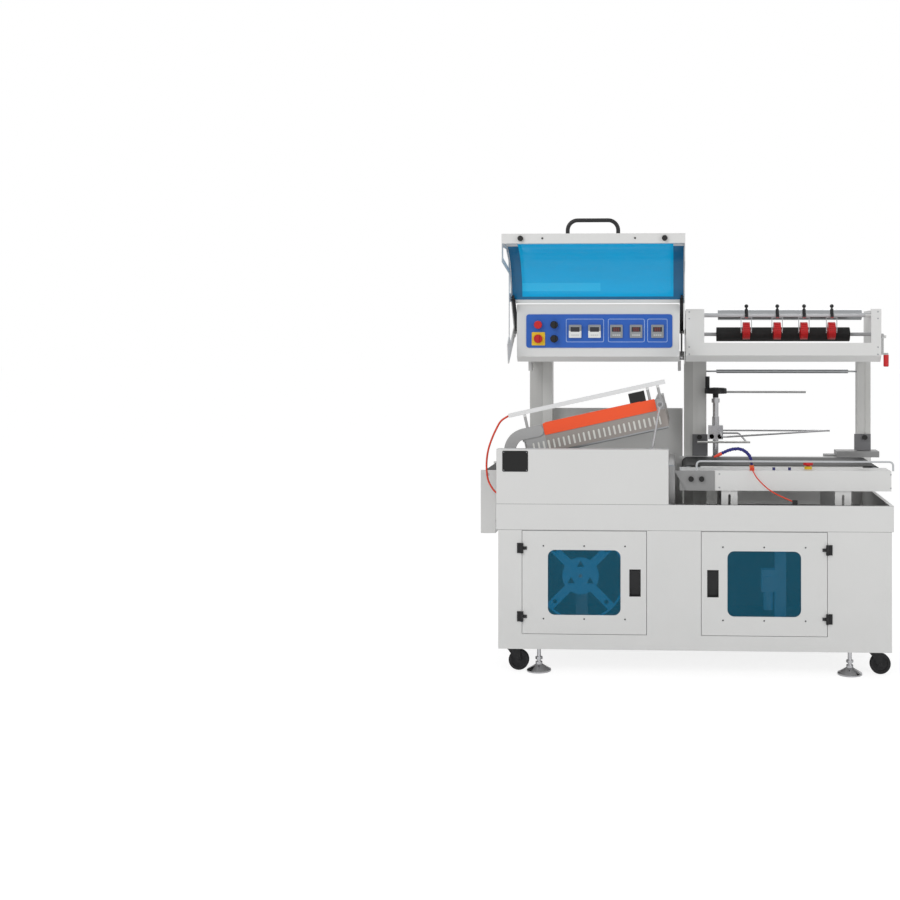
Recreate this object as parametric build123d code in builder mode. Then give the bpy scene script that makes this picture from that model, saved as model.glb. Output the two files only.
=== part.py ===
# L bar sealer: a film sealing machine with a raised sealing arm, an open hood, two conveyors
# and a film unwinder, standing on a cabinet with casters and levelling feet.
#
# Millimetres. X runs to the right, Y to the rear, Z up. The origin is on the floor under the
# middle of the whole machine.
import os
from math import asin, atan2, cos, degrees, hypot, pi, radians, sin, tan

from build123d import *

os.makedirs("parts", exist_ok=True)

# Overall sizes
CABINET_WIDTH = 1590.0
CABINET_DEPTH = 830.0
CABINET_CENTRE_X = 44.0
CABINET_FRONT_Y = -358.0
CABINET_BOTTOM_Z = 103.0
CABINET_TOP_Z = 588.0
SHEET = 2.0
FIT = 0.05
GAP = 0.3

# Tray on the cabinet
TRAY_OVERHANG = 8.0
TRAY_HEIGHT = 105.0
TRAY_LIP = 15.0

# Doors
DOOR_WIDTH = 505.0
DOOR_HEIGHT = 418.0
DOOR_DEPTH = 18.0
DOOR_BOTTOM_Z = 166.0
DOOR_GAP = 2.0
LEFT_DOOR_CENTRE_X = -400.0
RIGHT_DOOR_CENTRE_X = 328.0
WINDOW_WIDTH = 296.0
WINDOW_HEIGHT = 264.0
WINDOW_RADIUS = 28.0
PANE_MARGIN = 14.0
PANE_THICKNESS = 3.0
LATCH_WIDTH = 46.0
LATCH_HEIGHT = 110.0
LATCH_DEPTH = 14.0
LATCH_INSET = 46.0
LATCH_WALL = 2.0
LATCH_PIN_RADIUS = 2.5
LATCH_PLAY = 1.0
LATCH_PIVOT_INSET = 5.0
HINGE_HEIGHT = 41.0
HINGE_LEAF = 20.0
HINGE_THICKNESS = 3.0
HINGE_PIN_RADIUS = 3.0
HINGE_INSET = 70.0

# Casters and feet
CASTER_INSET_X = 56.0
CASTER_INSET_Y = 70.0
CASTER_WHEEL_RADIUS = 42.0
CASTER_WHEEL_WIDTH = 26.0
CASTER_TRAIL = 20.0
CASTER_LIFT = 0.8
FORK_THICKNESS = 3.0
FOOT_INSET_X = 160.0
FOOT_INSET_Y = 60.0
FOOT_RADIUS = 50.0
STUD_RADIUS = 8.0

# Conveyors
INFEED_BELT_TOP_Z = 832.0
INFEED_FRONT_Y = -298.0
INFEED_LEFT_X = -13.0
INFEED_FACE_BOTTOM_Z = 744.0
INFEED_BELT_FRONT_Y = -159.0
INFEED_BELT_WIDTH = 378.0
ROLLER_RADIUS = 25.0
ROLLER_SHAFT_RADIUS = 8.0
BELT_THICKNESS = 2.0
EXIT_LEFT_X = -863.0
EXIT_RIGHT_X = -90.0
EXIT_FRONT_Y = -110.0
EXIT_BELT_WIDTH = 360.0
EXIT_BELT_TOP_Z = 806.0
EXIT_ROLLER_RADIUS = 20.0
FRAME_PLATE = 3.0

# Worked out from the sizes above
CABINET_LEFT_X = CABINET_CENTRE_X - CABINET_WIDTH / 2
CABINET_RIGHT_X = CABINET_CENTRE_X + CABINET_WIDTH / 2
CABINET_REAR_Y = CABINET_FRONT_Y + CABINET_DEPTH
TRAY_LEFT_X = CABINET_LEFT_X - TRAY_OVERHANG
TRAY_RIGHT_X = CABINET_RIGHT_X + TRAY_OVERHANG
TRAY_TOP_Z = CABINET_TOP_Z + TRAY_HEIGHT
TRAY_FLOOR_Z = CABINET_TOP_Z + SHEET
ARM_FITTING = (-730.0, -285.0)
ARM_FITTING_RADIUS = 8.0
ARM_FITTING_HEIGHT = 16.0
DOOR_CENTRE_Z = DOOR_BOTTOM_Z + DOOR_HEIGHT / 2


def front_plane(y):
    """A plane at depth y that faces the front, with X and Z as its own axes."""
    return Plane(origin=(0, y, 0), x_dir=(1, 0, 0), z_dir=(0, -1, 0))


def side_plane(x):
    """A plane at x that faces right, with Y and Z as its own axes."""
    return Plane(origin=(x, 0, 0), x_dir=(0, 1, 0), z_dir=(1, 0, 0))


def block(x, y, z, mode=Mode.ADD):
    """A block between two values on each axis."""
    with Locations(((x[0] + x[1]) / 2, (y[0] + y[1]) / 2, (z[0] + z[1]) / 2)):
        Box(x[1] - x[0], y[1] - y[0], z[1] - z[0], mode=mode)


def plate(plane, points, amount, mode=Mode.ADD):
    """A flat plate of the outline given, from its plane."""
    with BuildSketch(plane) as outline:
        with BuildLine():
            Polyline(*points, close=True)
        make_face()
    extrude(outline.sketch, amount=amount, mode=mode)


def disc(plane, centre, radius, amount, mode=Mode.ADD):
    """A round bar or a round hole that starts at its plane."""
    with BuildSketch(plane) as outline:
        with Locations(centre):
            Circle(radius)
    extrude(outline.sketch, amount=amount, mode=mode)


def rounded_cut(plane, centre, size, radius, amount, mode=Mode.SUBTRACT):
    """A hole or a block with rounded corners."""
    with BuildSketch(plane) as outline:
        with Locations(centre):
            RectangleRounded(size[0], size[1], radius)
    extrude(outline.sketch, amount=amount, mode=mode)


def bent_bar(points, bends, radius):
    """A round bar along a bent path."""
    with BuildPart() as bar:
        with BuildLine() as path:
            FilletPolyline(*points, radius=bends)
        with BuildSketch(Plane(origin=path.line @ 0, z_dir=path.line % 0)):
            Circle(radius)
        sweep()
    return bar.part


def keep(part, name):
    """Label a finished piece and write it."""
    part.label = name
    export_step(part, f"parts/{name}.step")


# Cabinet: welded sheet box with two door openings, each with a folded edge behind it
def door_opening(centre_x, margin, depth, mode):
    half = DOOR_WIDTH / 2 + DOOR_GAP + margin
    height = DOOR_HEIGHT / 2 + DOOR_GAP + margin
    block(
        (centre_x - half, centre_x + half),
        (CABINET_FRONT_Y, CABINET_FRONT_Y + depth),
        (DOOR_CENTRE_Z - height, DOOR_CENTRE_Z + min(height, CABINET_TOP_Z - DOOR_CENTRE_Z)),
        mode,
    )


DOOR_CENTRES = (LEFT_DOOR_CENTRE_X, RIGHT_DOOR_CENTRE_X)
OPENING_EDGE_DEPTH = DOOR_DEPTH + 6.0
CABLE_HOLE_RADIUS = 30.0
CASTER_PLATE = 4.0
PLATE_HALF = 34.0
REEL_X = -418.0
REEL_Z = 394.0
REEL_FRONT_Y = -316.0
REEL_SLEEVE_RADIUS = 22.0
REEL_SLEEVE = 60.0
REEL_PIN_RADIUS = 8.0
REEL_STAND_HALF = 25.0
REEL_STAND_DEPTH = 30.0
CASTER_SPOTS = {
    "front_left": (CABINET_LEFT_X + CASTER_INSET_X, CABINET_FRONT_Y + CASTER_INSET_Y),
    "front_right": (CABINET_RIGHT_X - CASTER_INSET_X, CABINET_FRONT_Y + CASTER_INSET_Y),
    "rear_left": (CABINET_LEFT_X + CASTER_INSET_X, CABINET_REAR_Y - CASTER_INSET_Y),
    "rear_right": (CABINET_RIGHT_X - CASTER_INSET_X, CABINET_REAR_Y - CASTER_INSET_Y),
}
with BuildPart() as cabinet:
    block(
        (CABINET_LEFT_X, CABINET_RIGHT_X),
        (CABINET_FRONT_Y, CABINET_REAR_Y),
        (CABINET_BOTTOM_Z, CABINET_TOP_Z),
    )
    block(
        (CABINET_LEFT_X + SHEET, CABINET_RIGHT_X - SHEET),
        (CABINET_FRONT_Y + SHEET, CABINET_REAR_Y - SHEET),
        (CABINET_BOTTOM_Z + SHEET, CABINET_TOP_Z),
        Mode.SUBTRACT,
    )
    for centre in DOOR_CENTRES:
        door_opening(centre, SHEET, OPENING_EDGE_DEPTH, Mode.ADD)
    for centre in DOOR_CENTRES:
        door_opening(centre, 0, OPENING_EDGE_DEPTH, Mode.SUBTRACT)
    with Locations((CABINET_CENTRE_X, CABINET_REAR_Y - 150, CABINET_BOTTOM_Z + SHEET)):
        Hole(CABLE_HOLE_RADIUS, depth=SHEET)
    for x, y in CASTER_SPOTS.values():
        block(
            (x - PLATE_HALF, x + PLATE_HALF),
            (y - PLATE_HALF, y + PLATE_HALF),
            (CABINET_BOTTOM_Z - CASTER_PLATE, CABINET_BOTTOM_Z),
        )
    stand_y = REEL_FRONT_Y + REEL_SLEEVE + GAP
    block(
        (REEL_X - REEL_STAND_HALF, REEL_X + REEL_STAND_HALF),
        (stand_y, stand_y + REEL_STAND_DEPTH),
        (CABINET_BOTTOM_Z + SHEET, REEL_Z + REEL_STAND_HALF),
    )
    disc(front_plane(REEL_FRONT_Y), (REEL_X, REEL_Z), REEL_PIN_RADIUS, -REEL_SLEEVE - 1)
keep(cabinet.part, "cabinet")

# Tray: open pan that carries the conveyors, its lips folded inwards
with BuildPart() as deck_tray:
    block(
        (TRAY_LEFT_X, TRAY_RIGHT_X),
        (CABINET_FRONT_Y, CABINET_REAR_Y),
        (CABINET_TOP_Z, TRAY_TOP_Z),
    )
    block(
        (TRAY_LEFT_X + SHEET, TRAY_RIGHT_X - SHEET),
        (CABINET_FRONT_Y + SHEET, CABINET_REAR_Y - SHEET),
        (TRAY_FLOOR_Z, TRAY_TOP_Z - SHEET),
        Mode.SUBTRACT,
    )
    block(
        (TRAY_LEFT_X + TRAY_LIP, TRAY_RIGHT_X - TRAY_LIP),
        (CABINET_FRONT_Y + TRAY_LIP, CABINET_REAR_Y - TRAY_LIP),
        (TRAY_TOP_Z - SHEET, TRAY_TOP_Z),
        Mode.SUBTRACT,
    )
    with BuildSketch(Plane.XY.offset(TRAY_FLOOR_Z)) as fitting:
        with Locations(ARM_FITTING):
            RegularPolygon(ARM_FITTING_RADIUS, 6)
    extrude(fitting.sketch, amount=ARM_FITTING_HEIGHT)
keep(deck_tray.part, "deck_tray")


# Doors: folded pans with a window, a recess for the latch and two hinge leaves
def hinge_side(name):
    return -1 if name == "left" else 1


def hinge_heights():
    return (DOOR_BOTTOM_Z + HINGE_INSET, DOOR_BOTTOM_Z + DOOR_HEIGHT - HINGE_INSET)


HINGE_PIN_Y = CABINET_FRONT_Y - HINGE_THICKNESS - HINGE_PIN_RADIUS - GAP
KNUCKLE_RADIUS = HINGE_PIN_RADIUS + 3.0
KNUCKLE_THIRD = HINGE_HEIGHT / 3
DOOR_FACE_Y = CABINET_FRONT_Y


def hinge_axis_x(centre_x, side):
    return centre_x + side * (DOOR_WIDTH / 2 + DOOR_GAP / 2)


def build_door(name, centre_x):
    side = hinge_side(name)
    axis_x = hinge_axis_x(centre_x, side)
    latch_x = centre_x - side * (DOOR_WIDTH / 2 - LATCH_INSET)
    left = centre_x - DOOR_WIDTH / 2
    right = centre_x + DOOR_WIDTH / 2
    top = DOOR_BOTTOM_Z + DOOR_HEIGHT
    paddle_top = DOOR_CENTRE_Z + LATCH_HEIGHT / 2 - LATCH_WALL - LATCH_PLAY
    paddle_x = LATCH_WIDTH / 2 - LATCH_WALL - LATCH_PLAY
    latch_pivot_y = DOOR_FACE_Y + LATCH_PIVOT_INSET
    latch_pivot_z = paddle_top - LATCH_PIVOT_INSET
    face = front_plane(DOOR_FACE_Y)
    with BuildPart() as door:
        block((left, right), (DOOR_FACE_Y, DOOR_FACE_Y + DOOR_DEPTH), (DOOR_BOTTOM_Z, top))
        block(
            (left + SHEET, right - SHEET),
            (DOOR_FACE_Y + SHEET, DOOR_FACE_Y + DOOR_DEPTH),
            (DOOR_BOTTOM_Z + SHEET, top - SHEET),
            Mode.SUBTRACT,
        )
        rounded_cut(
            face, (centre_x, DOOR_CENTRE_Z), (WINDOW_WIDTH, WINDOW_HEIGHT), WINDOW_RADIUS, -SHEET
        )
        block(
            (latch_x - LATCH_WIDTH / 2, latch_x + LATCH_WIDTH / 2),
            (DOOR_FACE_Y + SHEET, DOOR_FACE_Y + LATCH_DEPTH + LATCH_WALL),
            (DOOR_CENTRE_Z - LATCH_HEIGHT / 2, DOOR_CENTRE_Z + LATCH_HEIGHT / 2),
        )
        block(
            (latch_x - LATCH_WIDTH / 2 + LATCH_WALL, latch_x + LATCH_WIDTH / 2 - LATCH_WALL),
            (DOOR_FACE_Y, DOOR_FACE_Y + LATCH_DEPTH),
            (
                DOOR_CENTRE_Z - LATCH_HEIGHT / 2 + LATCH_WALL,
                DOOR_CENTRE_Z + LATCH_HEIGHT / 2 - LATCH_WALL,
            ),
            Mode.SUBTRACT,
        )
        disc(
            side_plane(latch_x - LATCH_WIDTH / 2 + LATCH_WALL / 2),
            (latch_pivot_y, latch_pivot_z),
            LATCH_PIN_RADIUS,
            LATCH_WIDTH - LATCH_WALL,
        )
        for height in hinge_heights():
            block(
                tuple(sorted((axis_x, axis_x - side * HINGE_LEAF))),
                (DOOR_FACE_Y - HINGE_THICKNESS, DOOR_FACE_Y),
                (height - KNUCKLE_THIRD / 2 + GAP, height + KNUCKLE_THIRD / 2 - GAP),
            )
            disc(
                Plane.XY.offset(height - KNUCKLE_THIRD / 2 + GAP),
                (axis_x, HINGE_PIN_Y),
                KNUCKLE_RADIUS,
                KNUCKLE_THIRD - 2 * GAP,
            )
            disc(
                Plane.XY.offset(height - KNUCKLE_THIRD / 2),
                (axis_x, HINGE_PIN_Y),
                HINGE_PIN_RADIUS + FIT,
                KNUCKLE_THIRD,
                Mode.SUBTRACT,
            )
            block(
                tuple(sorted((axis_x, axis_x + side * KNUCKLE_RADIUS * 2))),
                (DOOR_FACE_Y - GAP, DOOR_FACE_Y + 1),
                (height - KNUCKLE_THIRD / 2, height + KNUCKLE_THIRD / 2),
                Mode.SUBTRACT,
            )
    keep(door.part, f"{name}_door")

    with BuildPart() as pane:
        rounded_cut(
            front_plane(DOOR_FACE_Y + SHEET),
            (centre_x, DOOR_CENTRE_Z),
            (WINDOW_WIDTH + 2 * PANE_MARGIN, WINDOW_HEIGHT + 2 * PANE_MARGIN),
            WINDOW_RADIUS,
            -PANE_THICKNESS,
            Mode.ADD,
        )
    keep(pane.part, f"{name}_door_window")

    with BuildPart() as latch:
        block(
            (latch_x - paddle_x, latch_x + paddle_x),
            (DOOR_FACE_Y, DOOR_FACE_Y + LATCH_PIVOT_INSET),
            (DOOR_CENTRE_Z - LATCH_HEIGHT / 5, latch_pivot_z),
        )
        fillet(latch.edges().filter_by(Axis.Y), LATCH_PLAY * 3)
        disc(
            side_plane(latch_x - paddle_x),
            (latch_pivot_y, latch_pivot_z),
            LATCH_PIVOT_INSET - FIT,
            2 * paddle_x,
        )
        disc(
            side_plane(latch_x - paddle_x),
            (latch_pivot_y, latch_pivot_z),
            LATCH_PIN_RADIUS + FIT,
            2 * paddle_x,
            Mode.SUBTRACT,
        )
    keep(latch.part, f"{name}_latch")


build_door("left", LEFT_DOOR_CENTRE_X)
build_door("right", RIGHT_DOOR_CENTRE_X)

# Fixed hinge halves: a leaf on the cabinet, two outer knuckles and the pin
with BuildPart() as door_hinges:
    for name, centre in zip(("left", "right"), DOOR_CENTRES):
        side = hinge_side(name)
        axis_x = hinge_axis_x(centre, side)
        for height in hinge_heights():
            low = height - HINGE_HEIGHT / 2
            block(
                tuple(sorted((axis_x + side * KNUCKLE_RADIUS, axis_x + side * HINGE_LEAF))),
                (DOOR_FACE_Y - HINGE_THICKNESS, DOOR_FACE_Y),
                (low, low + HINGE_HEIGHT),
            )
            for start in (low, low + 2 * KNUCKLE_THIRD):
                disc(Plane.XY.offset(start), (axis_x, HINGE_PIN_Y), KNUCKLE_RADIUS, KNUCKLE_THIRD)
                block(
                    tuple(sorted((axis_x, axis_x + side * (KNUCKLE_RADIUS + 1)))),
                    (DOOR_FACE_Y - HINGE_THICKNESS, DOOR_FACE_Y - GAP),
                    (start, start + KNUCKLE_THIRD),
                )
            block(
                (axis_x - KNUCKLE_RADIUS, axis_x + KNUCKLE_RADIUS),
                (DOOR_FACE_Y - GAP, DOOR_FACE_Y + KNUCKLE_RADIUS),
                (low, low + HINGE_HEIGHT),
                Mode.SUBTRACT,
            )
            disc(Plane.XY.offset(low), (axis_x, HINGE_PIN_Y), HINGE_PIN_RADIUS, HINGE_HEIGHT)
keep(door_hinges.part, "door_hinges")

# Casters: a swivelling fork on a ball race and a wheel on its axle
RACE_RADIUS = 26.0
RACE_HEIGHT = 8.0
AXLE_RADIUS = 5.0
WHEEL_AXLE_Z = CASTER_WHEEL_RADIUS + CASTER_LIFT
FORK_INNER = CASTER_WHEEL_WIDTH / 2 + 2.0
RACE_TOP_Z = CABINET_BOTTOM_Z - CASTER_PLATE - GAP

for spot, (x, y) in CASTER_SPOTS.items():
    axle_x = x + CASTER_TRAIL
    with BuildPart() as fork:
        disc(Plane.XY.offset(RACE_TOP_Z - RACE_HEIGHT), (x, y), RACE_RADIUS, RACE_HEIGHT)
        for low_y in (y - FORK_INNER - FORK_THICKNESS, y + FORK_INNER):
            with BuildSketch(front_plane(low_y)) as leg:
                with BuildLine():
                    Polyline(
                        (x - RACE_RADIUS, RACE_TOP_Z - RACE_HEIGHT),
                        (x + RACE_RADIUS, RACE_TOP_Z - RACE_HEIGHT),
                        (axle_x + 2 * AXLE_RADIUS, WHEEL_AXLE_Z + AXLE_RADIUS),
                        (axle_x + 2 * AXLE_RADIUS, WHEEL_AXLE_Z - 2 * AXLE_RADIUS),
                        (axle_x - 2 * AXLE_RADIUS, WHEEL_AXLE_Z - 2 * AXLE_RADIUS),
                        (axle_x - 3 * AXLE_RADIUS, WHEEL_AXLE_Z + AXLE_RADIUS),
                        close=True,
                    )
                make_face()
                fillet(leg.vertices().group_by(Axis.Y)[0], AXLE_RADIUS)
            extrude(leg.sketch, amount=-FORK_THICKNESS)
        block(
            (x - RACE_RADIUS, x + RACE_RADIUS),
            (y - FORK_INNER - FORK_THICKNESS, y + FORK_INNER + FORK_THICKNESS),
            (RACE_TOP_Z - RACE_HEIGHT - FORK_THICKNESS, RACE_TOP_Z - RACE_HEIGHT),
        )
        disc(
            front_plane(y - FORK_INNER - 2 * FORK_THICKNESS),
            (axle_x, WHEEL_AXLE_Z),
            AXLE_RADIUS,
            -2 * (FORK_INNER + 2 * FORK_THICKNESS),
        )
    keep(fork.part, f"{spot}_fork")

    with BuildPart() as wheel:
        disc(
            front_plane(y - CASTER_WHEEL_WIDTH / 2),
            (axle_x, WHEEL_AXLE_Z),
            CASTER_WHEEL_RADIUS,
            -CASTER_WHEEL_WIDTH,
        )
        fillet(wheel.edges().filter_by(GeomType.CIRCLE), 5)
        for start, depth in ((y - CASTER_WHEEL_WIDTH / 2, -4), (y + CASTER_WHEEL_WIDTH / 2, 4)):
            with BuildSketch(front_plane(start)) as recess:
                with Locations((axle_x, WHEEL_AXLE_Z)):
                    Circle(CASTER_WHEEL_RADIUS - 12)
                    Circle(2.4 * AXLE_RADIUS, mode=Mode.SUBTRACT)
            extrude(recess.sketch, amount=depth, mode=Mode.SUBTRACT)
        disc(
            front_plane(y - CASTER_WHEEL_WIDTH),
            (axle_x, WHEEL_AXLE_Z),
            AXLE_RADIUS + FIT,
            -2 * CASTER_WHEEL_WIDTH,
            Mode.SUBTRACT,
        )
    keep(wheel.part, f"{spot}_wheel")

# Levelling feet: a cone base on a stud with two nuts
FOOT_RIM = 6.0
FOOT_CONE_TOP = 28.0
FOOT_NECK_RADIUS = 14.0
NUT_RADIUS = 15.0
NUT_HEIGHT = 10.0
FOOT_SPOTS = [
    (x, y)
    for x in (CABINET_LEFT_X + FOOT_INSET_X, CABINET_RIGHT_X - FOOT_INSET_X)
    for y in (CABINET_FRONT_Y + FOOT_INSET_Y, CABINET_REAR_Y - FOOT_INSET_Y)
]
with BuildPart() as levelling_feet:
    for x, y in FOOT_SPOTS:
        with BuildSketch(front_plane(y)) as half:
            with BuildLine():
                Polyline(
                    (x, 0),
                    (x + FOOT_RADIUS, 0),
                    (x + FOOT_RADIUS, FOOT_RIM),
                    (x + FOOT_NECK_RADIUS, FOOT_CONE_TOP),
                    (x + FOOT_NECK_RADIUS, FOOT_CONE_TOP + NUT_HEIGHT),
                    (x + STUD_RADIUS, FOOT_CONE_TOP + NUT_HEIGHT),
                    (x + STUD_RADIUS, CABINET_BOTTOM_Z),
                    (x, CABINET_BOTTOM_Z),
                    close=True,
                )
            make_face()
        revolve(half.sketch, axis=Axis((x, y, 0), (0, 0, 1)))
        for low in (FOOT_CONE_TOP + 2 * NUT_HEIGHT, CABINET_BOTTOM_Z - NUT_HEIGHT):
            with BuildSketch(Plane.XY.offset(low)) as nut:
                with Locations((x, y)):
                    RegularPolygon(NUT_RADIUS, 6)
            extrude(nut.sketch, amount=NUT_HEIGHT)
keep(levelling_feet.part, "levelling_feet")

# Covers of the sealing section: the front cover and the guard sheet behind the arm
COVER_RIGHT_X = -57.5
COVER_TOP_Z = 915.0
COVER_RETURN = 55.0
COVER_SIDE_RETURN = 30.0
GUARD_LEFT_X = -597.0
GUARD_RIGHT_X = 2.0
GUARD_Y = 332.0
GUARD_TOP_Z = 1045.0
GUARD_RETURN = 25.0
with BuildPart() as seal_covers:
    block(
        (TRAY_LEFT_X, COVER_RIGHT_X),
        (CABINET_FRONT_Y, CABINET_FRONT_Y + COVER_RETURN),
        (TRAY_TOP_Z, COVER_TOP_Z),
    )
    fillet(seal_covers.edges().filter_by(Axis.Z).group_by(Axis.Y)[0], 3)
    block(
        (TRAY_LEFT_X + SHEET, COVER_RIGHT_X - SHEET),
        (CABINET_FRONT_Y + SHEET, CABINET_FRONT_Y + COVER_RETURN),
        (TRAY_TOP_Z, COVER_TOP_Z - SHEET),
        Mode.SUBTRACT,
    )
    block(
        (TRAY_LEFT_X, COVER_RIGHT_X),
        (CABINET_FRONT_Y + COVER_SIDE_RETURN, CABINET_FRONT_Y + COVER_RETURN),
        (TRAY_TOP_Z, COVER_TOP_Z - SHEET),
        Mode.SUBTRACT,
    )
    block((GUARD_LEFT_X, GUARD_RIGHT_X), (GUARD_Y, GUARD_Y + SHEET), (TRAY_FLOOR_Z, GUARD_TOP_Z))
    for x in (GUARD_LEFT_X, GUARD_RIGHT_X - SHEET):
        block((x, x + SHEET), (GUARD_Y, GUARD_Y + GUARD_RETURN), (TRAY_FLOOR_Z, GUARD_TOP_Z))
    block(
        (GUARD_LEFT_X, GUARD_RIGHT_X),
        (GUARD_Y, GUARD_Y + GUARD_RETURN),
        (GUARD_TOP_Z - SHEET, GUARD_TOP_Z),
    )
keep(seal_covers.part, "seal_covers")

# In-feed conveyor frame: front and rear side plates, top strip, feet and cross bars
STRIP_WIDTH = 130.0
STRIP_Z = INFEED_BELT_TOP_Z - 6.0
BELT_REAR_Y = INFEED_BELT_FRONT_Y + INFEED_BELT_WIDTH
SIDE_CLEARANCE = 3.0
PLATE_FRONT_Y = INFEED_BELT_FRONT_Y - SIDE_CLEARANCE - FRAME_PLATE
PLATE_REAR_Y = BELT_REAR_Y + SIDE_CLEARANCE
ROLLER_Z = INFEED_BELT_TOP_Z - BELT_THICKNESS - ROLLER_RADIUS
HEAD_ROLLER_X = INFEED_LEFT_X + 38.0
TAIL_ROLLER_X = TRAY_RIGHT_X - 45.0
FOOT_LEFT_X = 158.0
FOOT_RIGHT_X = 620.0
FOOT_WIDTH = 66.0
FOOT_SLOT = (10.0, 60.0)
MOTOR_X = 420.0
MOTOR_RADIUS = 42.0
MOTOR_LENGTH = 150.0
REAR_RAIL_TOP = 0.0
STEM_RADIUS = 8.0
INFEED_BUTTON = (518.0, -228.0)
INFEED_COLLAR = 12.0
INFEED_COLLAR_RADIUS = 16.0
GUIDE_ROD_RADIUS = 4.0
GUIDE_ROD_Y = -288.0
GUIDE_ROD_X = (57.0, 856.0)
GUIDE_ROD_Z = 863.0
GUIDE_ROD_BEND = 16.0
SIDE_BRACKET = ((-35.0, 825.0), (130.0, 825.0), (130.0, 744.0), (16.0, 744.0))
SIDE_BRACKET_THICKNESS = 4.0
SIDE_KNOBS = ((34.0, 792.0), (77.0, 792.0))
SIDE_KNOB_RADIUS = 11.0
SIDE_KNOB_PROUD = 12.0
SMALL_KNOB_X = (373.0, 437.0)
SMALL_KNOB_RADIUS = 6.0
SMALL_KNOB_HEIGHT = 12.0
SMALL_KNOB_Y = -276.0


def shaft_holes(plane, amount, centres, radius=ROLLER_SHAFT_RADIUS):
    for centre in centres:
        disc(plane, centre, radius + FIT, amount, Mode.SUBTRACT)


ROLLER_CENTRES = [(HEAD_ROLLER_X, ROLLER_Z), (TAIL_ROLLER_X, ROLLER_Z)]
with BuildPart() as infeed_frame:
    block(
        (INFEED_LEFT_X, TRAY_RIGHT_X),
        (INFEED_FRONT_Y, INFEED_FRONT_Y + SHEET),
        (INFEED_FACE_BOTTOM_Z, STRIP_Z),
    )
    block(
        (INFEED_LEFT_X, TRAY_RIGHT_X),
        (INFEED_FRONT_Y, PLATE_FRONT_Y + FRAME_PLATE),
        (STRIP_Z - SHEET, STRIP_Z),
    )
    block(
        (INFEED_LEFT_X, TRAY_RIGHT_X),
        (PLATE_FRONT_Y, PLATE_FRONT_Y + FRAME_PLATE),
        (INFEED_FACE_BOTTOM_Z, STRIP_Z),
    )
    block(
        (INFEED_LEFT_X, TRAY_RIGHT_X),
        (PLATE_REAR_Y, PLATE_REAR_Y + FRAME_PLATE),
        (INFEED_FACE_BOTTOM_Z, INFEED_BELT_TOP_Z + REAR_RAIL_TOP),
    )
    block(
        (INFEED_LEFT_X, TRAY_RIGHT_X),
        (PLATE_REAR_Y, PLATE_REAR_Y + 40),
        (INFEED_BELT_TOP_Z + REAR_RAIL_TOP - SHEET, INFEED_BELT_TOP_Z + REAR_RAIL_TOP),
    )
    block(
        (HEAD_ROLLER_X + 2 * ROLLER_RADIUS, TAIL_ROLLER_X - 2 * ROLLER_RADIUS),
        (PLATE_FRONT_Y, PLATE_REAR_Y + FRAME_PLATE),
        (STRIP_Z - SHEET, INFEED_BELT_TOP_Z - BELT_THICKNESS - GAP),
    )
    for x in (FOOT_LEFT_X, FOOT_RIGHT_X):
        for y in (INFEED_FRONT_Y + 3 * SHEET, PLATE_REAR_Y + FRAME_PLATE):
            block((x, x + FOOT_WIDTH), (y, y + FRAME_PLATE), (TRAY_FLOOR_Z, INFEED_FACE_BOTTOM_Z + 30))
        block(
            (x, x + FOOT_WIDTH),
            (INFEED_FRONT_Y + SHEET, INFEED_FRONT_Y + 3 * SHEET),
            (INFEED_FACE_BOTTOM_Z, INFEED_FACE_BOTTOM_Z + 30),
        )
        rounded_cut(
            front_plane(INFEED_FRONT_Y + 3 * SHEET),
            (x + FOOT_WIDTH / 2, (TRAY_TOP_Z + INFEED_FACE_BOTTOM_Z) / 2 - 20),
            FOOT_SLOT,
            FOOT_SLOT[0] / 2 - FIT,
            -FRAME_PLATE,
        )
    shaft_holes(front_plane(PLATE_FRONT_Y), -FRAME_PLATE, ROLLER_CENTRES)
    shaft_holes(front_plane(PLATE_REAR_Y), -FRAME_PLATE, ROLLER_CENTRES)
    plate(front_plane(INFEED_FRONT_Y - SIDE_BRACKET_THICKNESS), SIDE_BRACKET, -SIDE_BRACKET_THICKNESS)
    for spot in SIDE_KNOBS:
        disc(
            front_plane(INFEED_FRONT_Y - SIDE_BRACKET_THICKNESS), spot, SIDE_KNOB_RADIUS, SIDE_KNOB_PROUD
        )
    for x in SMALL_KNOB_X:
        disc(Plane.XY.offset(STRIP_Z), (x, SMALL_KNOB_Y), SMALL_KNOB_RADIUS, SMALL_KNOB_HEIGHT)
    disc(Plane.XY.offset(STRIP_Z), INFEED_BUTTON, INFEED_COLLAR_RADIUS, INFEED_COLLAR)
    disc(
        Plane.XY.offset(STRIP_Z - SHEET),
        INFEED_BUTTON,
        STEM_RADIUS + FIT,
        SHEET + INFEED_COLLAR,
        Mode.SUBTRACT,
    )
    guide_path = [
        (GUIDE_ROD_X[0], GUIDE_ROD_Y, STRIP_Z - 1),
        (GUIDE_ROD_X[0], GUIDE_ROD_Y, GUIDE_ROD_Z),
        (GUIDE_ROD_X[1], GUIDE_ROD_Y, GUIDE_ROD_Z),
        (GUIDE_ROD_X[1], GUIDE_ROD_Y, STRIP_Z - 1),
    ]
    add(bent_bar(guide_path, [GUIDE_ROD_BEND, GUIDE_ROD_BEND], GUIDE_ROD_RADIUS))
keep(infeed_frame.part, "infeed_frame")


def build_roller(name, centre, y, length, radius, shaft_radius, stub):
    with BuildPart() as roller:
        disc(front_plane(y), centre, radius, -length)
        chamfer(roller.edges().filter_by(GeomType.CIRCLE), 1.5)
        disc(front_plane(y - stub), centre, shaft_radius, -length - 2 * stub)
    keep(roller.part, name)


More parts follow.
